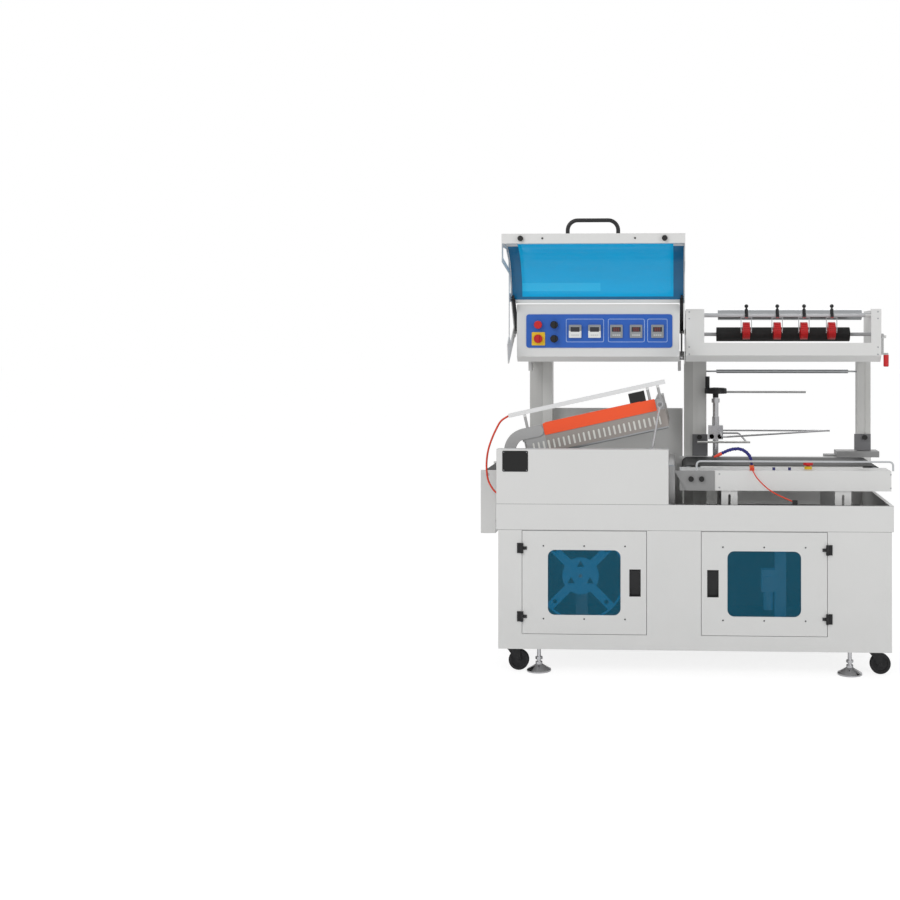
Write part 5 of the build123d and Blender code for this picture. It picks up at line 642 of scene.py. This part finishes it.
class SEALER_OT_seal_arm(bpy.types.Operator):
    """Finishes the sealing arm, jaw, guard strip and cylinder"""

    bl_idname = "sealer.seal_arm"
    bl_label = "Sealing arm"

    def execute(self, context):
        metal = finish_of("arm_aluminium", brushed, linear(0.80, 0.80, 0.80), (0.05, 1, 1), 0.4)
        coat(metal, "lower_jaw", "seal_cylinder")
        arm = enamel("arm_castings", linear(0.66, 0.66, 0.66), 0.45)
        arm.x, arm.z = arm_square(arm)
        patched(arm, ARM_PATCHES)
        coat(arm, "seal_arm")
        white = finish_of("finger_white", moulded, linear(0.90, 0.90, 0.88), 0.5)

        def fingers(work):
            for number in range(SLOT_COUNT):
                centre = (SLOT_MIDDLE + (number - (SLOT_COUNT - 1) / 2) * SLOT_PITCH, SLOT_Z)
                front_panel(work, centre, *FINGER_SIZE, FINGER_RADIUS, FINGER_Y, FINGER_THICKNESS)
            pivot = mm(ARM_PIVOT[0], 0, ARM_PIVOT[1])
            turn = Euler((0, -ARM_OPEN, 0)).to_matrix()
            bmesh.ops.rotate(work, verts=work.verts, cent=pivot, matrix=turn)

        piece_from("comb_fingers", fingers, white, "seal_arm")
        coat(steel(), "seal_bar")
        coat(chrome(), "pull_rod")
        coat(finish_of("guard_paint", enamel, tuple(colours().guard_orange), 0.35), "seal_guard")
        return {"FINISHED"}


POST_PATCHES = {
    "left post beside its groove": ((0.88, 0.88, 0.87), (-641, None, 600), (-590, 300, 1268), None),
    "middle post beside its groove": ((0.88, 0.88, 0.87), (49, None, 600), (110, 300, 1268), None),
    "middle clamp": ((0.45, 0.45, 0.46), (40, 200, 832), (117, 264.9, 932), None),
    "right clamp": ((0.45, 0.45, 0.46), (777, 200, 860.5), (853, 264.9, 936), None),
    "slide plates": ((0.58, 0.58, 0.58), (640, None, 813), (886, None, 859.5), None),
    "middle clamp's knob": ((0.06, 0.06, 0.06), (60, 240, 905), (95, 258.8, 931), 0.4),
    "right clamp's knob": ((0.06, 0.06, 0.06), (812, 240, 905), (837, 258.8, 932), 0.4),
    "upper rod": ((0.80, 0.80, 0.80), (110.5, 290, 1115), (600, 310, 1130), 0.25),
}
CARRIAGE_PATCHES = {
    "white bar": ((0.93, 0.93, 0.92), (67, 200, 894), (306, 214, 906), 0.5),
    "knobs": ((0.06, 0.06, 0.06), (118, 190, 914), (184, 216.8, 936), 0.5),
}


class SEALER_OT_posts(bpy.types.Operator):
    """Finishes the posts with their clamps, and the film column"""

    bl_idname = "sealer.posts"
    bl_label = "Posts and column"

    def execute(self, context):
        paint = enamel("post_paint", tuple(colours().post_paint))
        coat(patched(paint, POST_PATCHES), "posts")
        coat(chrome(), "film_column")
        coat(black_plastic(), "handwheel")
        rods = finish_of("carriage_steel", brushed, linear(0.78, 0.78, 0.79), (1, 1, 1), 0.22)
        coat(patched(rods, CARRIAGE_PATCHES), "film_carriage")
        return {"FINISHED"}


UNWINDER_PATCHES = {
    "perforator bar": ((0.76, 0.76, 0.77), (95, -20, 1455), (786, 4, 1475), 0.25),
}
FEED_ROLLER_PATCHES = {
    "left journal": ((0.70, 0.70, 0.71), ANYWHERE, (148.5, None, None), 0.3),
    "right journal": ((0.70, 0.70, 0.71), (729.5, None, None), ANYWHERE, 0.3),
}
FORKS = ((None, None, 1380), (None, None, 1459.5))
LEVER_GRIP_TOP = (None, None, 1298)


class SEALER_OT_unwinder(bpy.types.Operator):
    """Finishes the film unwinder, its rollers and the perforating wheels"""

    bl_idname = "sealer.unwinder"
    bl_label = "Film unwinder"

    def execute(self, context):
        frame_paint = enamel("unwinder_paint", tuple(colours().paint))
        coat(patched(frame_paint, UNWINDER_PATCHES), "unwinder_frame")
        tube = finish_of("tube_aluminium", brushed, linear(0.74, 0.75, 0.76), (0.05, 1, 1), 0.3)
        coat(tube, "support_roller", "film_idler")
        sleeve = moulded("roller_rubber", linear(0.05, 0.05, 0.05), 0.62)
        coat(patched(sleeve, FEED_ROLLER_PATCHES), "feed_roller")
        coat(signal_red(), "perforating_wheels")
        brackets = moulded("bracket_parts", linear(0.07, 0.07, 0.08), 0.4)
        masked(brackets, linear(0.80, 0.80, 0.81), *FORKS, 0.25)
        metal_in(brackets, *FORKS)
        coat(brackets, "perforator_brackets")
        lever = brushed("lever_parts", linear(0.80, 0.80, 0.80), (1, 1, 1), 0.25)
        masked(lever, tuple(colours().signal_red), ANYWHERE, LEVER_GRIP_TOP, 0.35)
        metal_in(lever, LEVER_GRIP_TOP, ANYWHERE)
        coat(lever, "brake_lever")
        return {"FINISHED"}


HOOD_PATCHES = {
    "handle": ((0.06, 0.06, 0.07), (None, None, 1785), ANYWHERE, 0.5),
    "screws of the bar": ((0.05, 0.05, 0.05), (None, None, 1750), (None, -453.3, 1780), 0.5),
    "inside behind the window": ((0.0, 0.40, 0.58), (-719.5, -440, 1530), (4, -100, 1744.5), 0.2),
}
HOOD_WINDOW_PATCHES = {
    # A painted highlight: a paler band across the left part of the window near its foot.
    "painted highlight near its foot": ((0.16, 0.68, 0.84), (-695, None, 1566), (-345, None, 1600), None),
}


class SEALER_OT_hood(bpy.types.Operator):
    """Finishes the tilting hood, its window and the lifting struts"""

    bl_idname = "sealer.hood"
    bl_label = "Hood"

    def execute(self, context):
        paint = enamel("hood_paint", tuple(colours().paint))
        coat(patched(paint, HOOD_PATCHES), "hood_frame")
        # The glow of 0.33 is painted light: the hood window emits its own blue tint.
        window = clear_sheet("hood_window", tuple(colours().hood_blue), 0.12, 0.33)
        coat(patched(window, HOOD_WINDOW_PATCHES), "hood_window")
        for side in ("left", "right"):
            coat(black_plastic(), f"{side}_strut_cylinder")
            coat(chrome(), f"{side}_strut_rod")
        return {"FINISHED"}


# The control panel

PANEL_FACE = -161.0
PANEL_PATCHES = {
    "collars": ((0.55, 0.56, 0.58), (-700, None, 1340), (-520, -161.2, 1445), 0.3),
    "yellow plate": ((0.92, 0.76, 0.12), (-640, None, 1335), (-579, -161.2, 1395), 0.4),
}
TIMER_PATCHES = {
    "lower half": ((0.90, 0.90, 0.89), (-480, None, 1360), (-340, None, 1398), 0.4),
}
FACE_CENTRES = (-452.75, -370.75, -278.75, -195.75, -105.75)
FACE_Z = 1396.5
FACE_PROUD = (14.0, 14.0, 8.0, 8.0, 8.0)
CONTROLLERS = slice(2, None)
LINE_FRAMES = ((-412, 160), (-237, 154), (-106, 84))
LINE_Z = 1400.0
LINE_HEIGHT = 98.0
LINE_RADIUS = 7.0
LINE_WIDTH = 1.6
DISPLAY_SIZE = (38.0, 20.0)
DISPLAY_RADIUS = 1.5
DISPLAY_RISE = 8.0
DISPLAY_SUNK = 0.9
DISPLAY_THICKNESS = 0.6
DIGIT_ROWS = (12.0, 3.0)
DIGIT_PLACES = (-9.0, 0.0, 9.0)
DIGIT_SIZE = (5.0, 7.0)
DIGIT_RADIUS = 0.6
DIGIT_STROKE = 1.0
DIGIT_PROUD = 7.3
KEY_PLACES = (-13.0, -4.5, 4.5, 13.0)
KEY_DROP = 16.0
KEY_SIZE = (6.5, 5.0)
KEY_RADIUS = 1.0
KEY_SUNK = 0.6
KEY_THICKNESS = 0.9


class SEALER_OT_controls(bpy.types.Operator):
    """Finishes the control box and panel, and draws the instrument faces"""

    bl_idname = "sealer.controls"
    bl_label = "Controls"

    def execute(self, context):
        coat(light_paint(), "control_box")
        panel = moulded("panel_foil", tuple(colours().panel_blue), 0.35)
        coat(patched(panel, PANEL_PATCHES), "control_panel")
        case = finish_of("instrument_case", moulded, linear(0.58, 0.59, 0.60), 0.4)
        coat(patched(case, TIMER_PATCHES), "panel_instruments")
        coat(signal_red(), "stop_button", "main_switch")
        coat(black_plastic(), "upper_selector", "lower_selector")
        white = finish_of("panel_lines", moulded, linear(0.75, 0.83, 0.94), 0.4)

        def outlines(work):
            for x, width in LINE_FRAMES:
                centre, y = (x, LINE_Z), PANEL_FACE - LINE_THICKNESS
                front_outline(work, centre, width, LINE_HEIGHT, LINE_RADIUS, y, LINE_WIDTH)

        piece_from("panel_lines", outlines, white, "frame")
        glass = finish_of("display_glass", moulded, linear(0.20, 0.20, 0.22), 0.15)

        def displays(work):
            for x, proud in zip(FACE_CENTRES, FACE_PROUD):
                centre, y = (x, FACE_Z + DISPLAY_RISE), PANEL_FACE - proud + DISPLAY_SUNK
                front_panel(work, centre, *DISPLAY_SIZE, DISPLAY_RADIUS, y, DISPLAY_THICKNESS)

        piece_from("instrument_displays", displays, glass, "frame")
        digits = Finish("display_digits", Emission_Strength=0.15)
        digits.feed(
            Base_Color=digits.shades(linear(0.55, 0.16, 0.14), digits.noise(300.0), 0.05),
            Emission_Color=digits.shades(linear(0.7, 0.15, 0.1), digits.noise(300.0), 0.05),
        )

        def segments(work):
            y = PANEL_FACE - DIGIT_PROUD
            for x in FACE_CENTRES[CONTROLLERS]:
                for row in DIGIT_ROWS:
                    for place in DIGIT_PLACES:
                        centre = (x + place, FACE_Z + row)
                        front_outline(work, centre, *DIGIT_SIZE, DIGIT_RADIUS, y, DIGIT_STROKE)

        piece_from("instrument_digits", segments, digits, "frame")
        keys = finish_of("instrument_keys", moulded, linear(0.80, 0.80, 0.80), 0.45)

        def buttons(work):
            for x, proud in zip(FACE_CENTRES, FACE_PROUD):
                for place in KEY_PLACES:
                    centre, y = (x + place, FACE_Z - KEY_DROP), PANEL_FACE - proud + KEY_SUNK
                    front_panel(work, centre, *KEY_SIZE, KEY_RADIUS, y, KEY_THICKNESS)

        piece_from("instrument_keys", buttons, keys, "frame")
        return {"FINISHED"}


# Small fittings

PLATE_CENTRE = (-681.5, 866.5)
PLATE_SIZE = (105.0, 85.0)
PLATE_RADIUS = 5.0
PLATE_Y = -359.2
PLATE_THICKNESS = 1.2
PLATE_SCREWS = [(x, PLATE_Y, z) for x in (-728, -635) for z in (830, 903)]
PLATE_SCREW_RADIUS = 2.2
PLATE_SCREW_HEIGHT = 1.2
STEM_X = (276.0, 409.0, 524.0, 643.0)
STEM_Y = -8.0
SLEEVE_STEPS = ((1459.6, 1492.0, 7.5), (1492.0, 1496.0, 5.5))
UNWINDER_SCREWS = [(x, -158.0, z) for x in (28, 816) for z in (1300, 1330, 1450, 1478)]
INFEED_SCREWS = [(x, -298.0, z) for x in (150, 845) for z in (757, 812)]
SCREW_HEIGHT = 1.6


class SEALER_OT_fittings(bpy.types.Operator):
    """Adds the bare plate on the cover, the stem sleeves and the rows of screws"""

    bl_idname = "sealer.fittings"
    bl_label = "Plate, sleeves and screws"

    def execute(self, context):
        plate = finish_of("plate_black", moulded, linear(0.06, 0.06, 0.06), 0.35)

        def cover_plate(work):
            front_panel(work, PLATE_CENTRE, *PLATE_SIZE, PLATE_RADIUS, PLATE_Y, PLATE_THICKNESS)

        piece_from("cover_plate", cover_plate, plate, "frame")
        head = (PLATE_SCREW_RADIUS, PLATE_SCREW_HEIGHT)
        screws("cover_plate_screws", PLATE_SCREWS, *head, steel(), "frame", "bare steel")

        def sleeves(work):
            for x in STEM_X:
                for low, high, radius in SLEEVE_STEPS:
                    made = bmesh.ops.create_cone(
                        work,
                        cap_ends=True,
                        segments=20,
                        radius1=radius * MM,
                        radius2=radius * MM,
                        depth=(high - low) * MM,
                    )
                    bmesh.ops.translate(work, verts=made["verts"], vec=mm(x, STEM_Y, (low + high) / 2))

        piece_from("stem_sleeves", sleeves, black_plastic(), "frame")
        head = (sizes().screw_radius, SCREW_HEIGHT)
        screws("unwinder_screws", UNWINDER_SCREWS, *head, steel(), "frame", "bare steel")
        screws("infeed_screws", INFEED_SCREWS, *head, steel(), "frame", "bare steel")
        return {"FINISHED"}


HOSE_PATCHES = {
    "nozzle hose": ((0.10, 0.10, 0.42), (165, -280, 846), (295, -260, 960), 0.35),
    "nozzle's foot": ((0.90, 0.45, 0.20), (265, -300, 826), (300, -255, 846), 0.35),
    "nozzle line's socket": ((0.08, 0.08, 0.09), (441, -360, 690), (470, -340, 716), 0.4),
}
BEAD_ROUTE = [(165, 896), (185, 905), (205, 911), (228, 913), (247, 908), (262, 898), (274, 884), (281, 866)]
BEAD_Y = -270.0
BEAD_RADIUS = 7.2


class SEALER_OT_air(bpy.types.Operator):
    """Finishes the hoses, nozzle, air unit and scrap reel"""

    bl_idname = "sealer.air"
    bl_label = "Air and reel"

    def execute(self, context):
        hoses = moulded("hose_plastic", linear(0.86, 0.24, 0.12), 0.3)
        coat(patched(hoses, HOSE_PATCHES), "air_hoses")
        # Painted light: the reel glows blue by an emission of its own, though it is no lamp.
        reel = Finish("reel_paint_with_painted_glow", Emission_Strength=0.65)
        drift = reel.noise(12.0)
        reel.feed(
            Base_Color=reel.shades(linear(0.40, 0.58, 0.70), drift, 0.06),
            Emission_Color=reel.shades(linear(0.08, 0.55, 0.80), drift, 0.06),
            Roughness=0.4 + drift * 0.05,
        )
        coat(reel, "scrap_reel")
        unit = finish_of("air_unit_plastic", moulded, linear(0.62, 0.78, 0.86), 0.4)
        # Painted light: the air unit glows blue by an emission of its own, though it is no lamp.
        unit.shader.inputs["Emission Strength"].default_value = 0.3
        unit.feed(Emission_Color=unit.shades(linear(0.10, 0.50, 0.75), unit.noise(15.0), 0.08))
        coat(unit, "air_unit")
        beads = finish_of("hose_beads", moulded, linear(0.10, 0.10, 0.45), 0.35)

        def rings(work):
            for number in range(sizes().bead_count):
                share = number / (sizes().bead_count - 1) * (len(BEAD_ROUTE) - 1)
                index = min(int(share), len(BEAD_ROUTE) - 2)
                first, second = Vector(BEAD_ROUTE[index]), Vector(BEAD_ROUTE[index + 1])
                point = first.lerp(second, share - index)
                made = bmesh.ops.create_uvsphere(work, u_segments=14, v_segments=8, radius=BEAD_RADIUS * MM)
                bmesh.ops.translate(work, verts=made["verts"], vec=mm(point.x, BEAD_Y, point.y))

        piece_from("nozzle_beads", rings, beads, "frame", True)
        return {"FINISHED"}


# The studio

SKY_LIGHT = 0.62
SKY_SEEN = 1.0
FLOOR_CORNERS = [(-30, -12, 0), (30, -12, 0), (30, 48, 0), (-30, 48, 0)]
FLOOR_COLOUR = (0.9, 0.9, 0.9, 1)
FLOOR_ROUGHNESS = 0.9
FLOOR_GLOW = 1.19
FLOOR_GLOW_SHARE = 0.7
WHITE = (1, 1, 1, 1)
LAMPS = {
    "key_lamp": ((-2.5, -4.0, 4.0), (0, 0, 0.9), (3.0, 2.0), 70),
    "fill_lamp": ((3.5, -3.5, 2.5), (0, 0, 0.9), (2.5, 2.5), 35),
    "back_lamp": ((0.5, 3.5, 3.5), (0, 0, 1.0), (3.0, 2.0), 40),
}
CAMERA_PLACE = (-0.021, -5.258, 1.359)
CAMERA_TURN = math.radians(2.5)
CAMERA_SHIFT = (-0.1942, -0.122)
CAMERA_SENSOR = 36.0


def lamp(name, place, aim, size, power):
    """A rectangular lamp that faces the point it is aimed at."""
    data = bpy.data.lights.new(name, "AREA")
    data.shape = "RECTANGLE"
    data.size, data.size_y = size
    data.energy = power
    light = bpy.data.objects.new(name, data)
    light.location = place
    light.rotation_euler = (Vector(aim) - Vector(place)).to_track_quat("-Z", "Y").to_euler()
    bpy.context.collection.objects.link(light)


class SEALER_OT_studio(bpy.types.Operator):
    """Sets the pale floor, soft light and the camera of the photograph"""

    bl_idname = "sealer.studio"
    bl_label = "Studio"

    def execute(self, context):
        scene = context.scene
        scene.view_settings.view_transform = "Standard"
        world = bpy.data.worlds.new("studio_world")
        scene.world = world
        world.use_nodes = True
        nodes, link = world.node_tree.nodes, world.node_tree.links.new
        sky = nodes["Background"]
        sky.inputs["Color"].default_value = WHITE
        rays = nodes.new("ShaderNodeLightPath")
        seen = nodes.new("ShaderNodeMath")
        seen.operation = "MAXIMUM"
        link(rays.outputs["Is Camera Ray"], seen.inputs[0])
        link(rays.outputs["Is Transmission Ray"], seen.inputs[1])
        level = nodes.new("ShaderNodeMapRange")
        level.inputs["To Min"].default_value = SKY_LIGHT
        level.inputs["To Max"].default_value = SKY_SEEN
        link(seen.outputs[0], level.inputs["Value"])
        link(level.outputs[0], sky.inputs["Strength"])
        mesh = bpy.data.meshes.new("studio_floor")
        mesh.from_pydata(FLOOR_CORNERS, [], [(0, 1, 2, 3)])
        floor = bpy.data.objects.new("studio_floor", mesh)
        context.collection.objects.link(floor)
        ground = bpy.data.materials.new("floor_white")
        ground.use_nodes = True
        tree = ground.node_tree
        diffuse = tree.nodes["Principled BSDF"]
        diffuse.inputs["Base Color"].default_value = FLOOR_COLOUR
        diffuse.inputs["Roughness"].default_value = FLOOR_ROUGHNESS
        glow = tree.nodes.new("ShaderNodeEmission")
        glow.inputs["Color"].default_value = WHITE
        glow.inputs["Strength"].default_value = FLOOR_GLOW
        path = tree.nodes.new("ShaderNodeLightPath")
        share = tree.nodes.new("ShaderNodeMath")
        share.operation = "MULTIPLY"
        share.inputs[1].default_value = FLOOR_GLOW_SHARE
        blend = tree.nodes.new("ShaderNodeMixShader")
        tree.links.new(path.outputs["Is Camera Ray"], share.inputs[0])
        tree.links.new(share.outputs[0], blend.inputs[0])
        tree.links.new(diffuse.outputs[0], blend.inputs[1])
        tree.links.new(glow.outputs[0], blend.inputs[2])
        tree.links.new(blend.outputs[0], tree.nodes["Material Output"].inputs["Surface"])
        mesh.materials.append(ground)
        for name, settings in LAMPS.items():
            lamp(name, *settings)
        camera = bpy.data.objects.new("photo_camera", bpy.data.cameras.new("photo_camera"))
        context.collection.objects.link(camera)
        camera.data.lens = sizes().lens
        camera.data.sensor_width = CAMERA_SENSOR
        camera.location = CAMERA_PLACE
        camera.rotation_euler = Euler((math.pi / 2, 0, CAMERA_TURN))
        camera.data.shift_x, camera.data.shift_y = CAMERA_SHIFT
        scene.camera = camera
        return {"FINISHED"}


OPERATORS = (
    SEALER_OT_cabinet,
    SEALER_OT_running_gear,
    SEALER_OT_conveyors,
    SEALER_OT_seal_arm,
    SEALER_OT_posts,
    SEALER_OT_unwinder,
    SEALER_OT_hood,
    SEALER_OT_controls,
    SEALER_OT_fittings,
    SEALER_OT_air,
    SEALER_OT_studio,
)


class SEALER_PT_looks(bpy.types.Panel):
    """Lists the sealer's finishing steps"""

    bl_idname = "SEALER_PT_looks"
    bl_label = "Sealer"
    bl_space_type = "VIEW_3D"
    bl_region_type = "UI"
    bl_category = "Sealer"

    def draw(self, context):
        for group in (colours(), sizes()):
            for name in group.__annotations__:
                self.layout.prop(group, name)
        for operator in OPERATORS:
            self.layout.operator(operator.bl_idname)


CLASSES = (SealerColours, SealerSizes, *OPERATORS, SEALER_PT_looks)


def register():
    for kind in CLASSES:
        bpy.utils.register_class(kind)
    bpy.types.Scene.sealer_colours = PointerProperty(type=SealerColours)
    bpy.types.Scene.sealer_sizes = PointerProperty(type=SealerSizes)


def unregister():
    del bpy.types.Scene.sealer_sizes
    del bpy.types.Scene.sealer_colours
    for kind in reversed(CLASSES):
        bpy.utils.unregister_class(kind)


def main():
    register()
    for operator in OPERATORS:
        group, name = operator.bl_idname.split(".")
        getattr(getattr(bpy.ops, group), name)()


if __name__ == "__main__":
    main()
